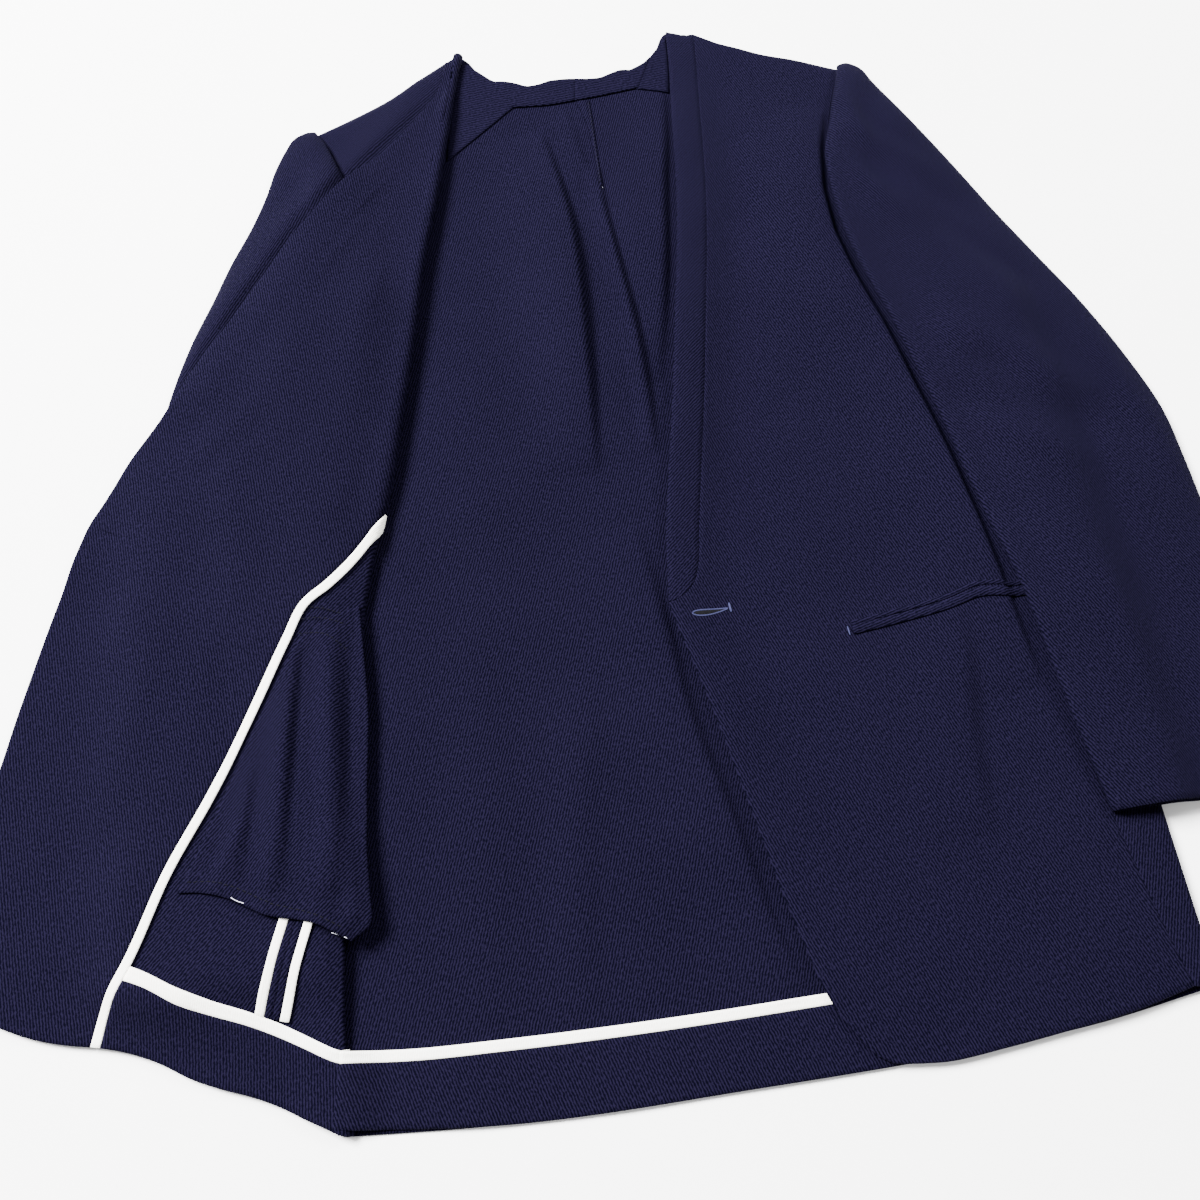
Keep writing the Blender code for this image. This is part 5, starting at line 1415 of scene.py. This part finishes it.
# %% Purl stitches
PURL_STEP = 0.6
PURL_WIDTH = 0.5
PURL_REACH = 0.5
HOLE_ENDS = (12.6, 34.4)
HOLE_LEVEL = (-465.3, -464.2)
HOLE_SAG = 0.7
HOLE_HALF = (2.5, 0.7)
HOLE_POINTS = 240
ON_FRONT = WALL / 2 + LOOSE_RISE
turn = np.linspace(0, 2 * math.pi, HOLE_POINTS + 1)[:-1]
along = (1 - np.cos(turn)) / 2
across = HOLE_ENDS[0] + (HOLE_ENDS[1] - HOLE_ENDS[0]) * along
level = HOLE_LEVEL[0] + (HOLE_LEVEL[1] - HOLE_LEVEL[0]) * along - HOLE_SAG * np.sin(math.pi * along)
half = HOLE_HALF[0] + (HOLE_HALF[1] - HOLE_HALF[0]) * along
hole = np.stack([across, level + np.sin(turn) * half], axis=1)
closed = np.concatenate([hole, hole[:1]])
run = row_length(closed)
rim = read_at(closed, run, np.arange(0, run[-1], PURL_STEP))
way = unit(np.roll(rim, 1, axis=0) - np.roll(rim, -1, axis=0))
out = np.stack([way[:, 1], -way[:, 0]], axis=1)
loops = [laid_on(front_tree, (rim + out * reach)[:, None], ON_FRONT)[:, 0]
         for reach in (-PURL_REACH, PURL_REACH)]
purl = thread_bits("buttonhole_purl", list(zip(*loops)), PURL_WIDTH, slate_thread)
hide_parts("buttonhole")
print("purl stitches:", len(rim))

# %% The gap between the lips, the bar and the tack at the pocket's end
GAP_WALL = 0.3
GAP_PART = (0.04, 0.96)
GAP_ROWS = 24
BAR_STEP = 0.36
BAR_THREAD = 0.45
half_way = HOLE_POINTS // 2
upper, lower = hole[1:half_way], hole[:half_way:-1]
picked = (np.linspace(*GAP_PART, GAP_ROWS) * (half_way - 2)).astype(int)
gap_plan = np.stack([upper, (upper + lower) / 2, lower], axis=1)[picked]
gap_looks = {"finish": slit_shade, "wall": GAP_WALL, "slot": "slate_thread"}
cloth("buttonhole_gap", laid_on(front_tree, gap_plan, WALL / 2), **gap_looks)
bars = {"buttonhole_bar": ([(35.3, -460.6), (35.7, -466.9)], 3),
        "pocket_end_tack": ([(102.6, -486.4), (103.0, -492.4)], 2)}
for name, (ends, count) in bars.items():
    threads = [np.array(ends) + (BAR_STEP * number, 0) for number in range(count)]
    threads = [laid_on(front_tree, thread[:, None], ON_FRONT + LOOSE_RISE)[:, 0] for thread in threads]
    thread_bits(name, threads, BAR_THREAD, slate_thread)
print("bars:", list(bars))

# %% The button keeps its solid
for number in range(len(nodes["button"].material_slots)):
    nodes["button"].material_slots[number].material = navy_button

# %% [markdown]
# ## What each cloth was cut to
#
# A sheet of cloth keeps its size however it lies. Each piece prints how wide and how long its cut is, and its
# # area, as it is made, so a wrong stretch would show.


# %% [markdown]
# ## Surface, light and camera
#
# The jacket lies on a plain pale surface. A big soft light hangs over it, up and to the left, and a weaker
# one comes from the upper right, with a white room all round. The camera leans over the hem and looks down.

# %% Surface
SURFACE_HALF = 4.0
SURFACE_DROP = 0.2 * MM
mesh = bpy.data.meshes.new("pale_surface")
corners = [(-1, -1), (1, -1), (1, 1), (-1, 1)]
points = [(x * SURFACE_HALF, y * SURFACE_HALF, -SURFACE_DROP) for x, y in corners]
mesh.from_pydata(points, [], [(0, 1, 2, 3)])
surface = bpy.data.objects.new("pale_surface", mesh)
bpy.context.scene.collection.objects.link(surface)
board, _, shader = new_finish("matte white board, rolled paint")
set_inputs(shader, {"Base Color": linear("#fafafa"), "Roughness": 0.9})
mesh.materials.append(board)

# %% Light
KEY_PLACE = (-1.8, 1.2, 2.3)
KEY_SIZE = 1.4
KEY_POWER = 930.0
SIDE_PLACE = (1.9, 1.1, 2.0)
SIDE_POWER = 170.0
FILL = 0.9
for name, place, power in (("soft key", KEY_PLACE, KEY_POWER), ("soft side", SIDE_PLACE, SIDE_POWER)):
    light = bpy.data.lights.new(name, "AREA")
    light.shape = "DISK"
    light.size = KEY_SIZE
    light.energy = power
    lamp = bpy.data.objects.new(name, light)
    bpy.context.scene.collection.objects.link(lamp)
    lamp.location = place
    lamp.rotation_mode = "QUATERNION"
    lamp.rotation_quaternion = (-Vector(place)).to_track_quat("-Z", "Y")
world = bpy.data.worlds.new("white room")
world.use_nodes = True
set_inputs(world.node_tree.nodes["Background"], {"Color": linear("#ffffff"), "Strength": FILL})
bpy.context.scene.world = world

# %% Camera
SENSOR = 36.0
PICTURE = 1200
FOCAL_PIXELS = 1250
LEAN = math.radians(22)
SWING = math.asin(0.1506)
CAMERA_PLACE = (-83.4, -726.7, 704.2)
camera = bpy.data.cameras.new("camera")
camera.sensor_width = SENSOR
camera.lens = SENSOR * FOCAL_PIXELS / PICTURE
view = bpy.data.objects.new("camera", camera)
bpy.context.scene.collection.objects.link(view)
right = Vector((math.cos(SWING), -math.sin(SWING), 0))
ahead = Vector((math.sin(LEAN) * math.sin(SWING), math.sin(LEAN) * math.cos(SWING), -math.cos(LEAN)))
upward = right.cross(ahead)
turned = Matrix((right, upward, -ahead)).transposed().to_4x4()
view.matrix_world = Matrix.Translation(JACKET_PLACE + Vector(CAMERA_PLACE) * MM) @ turned
bpy.context.scene.camera = view
print("camera at", [round(value, 4) for value in view.matrix_world.translation])
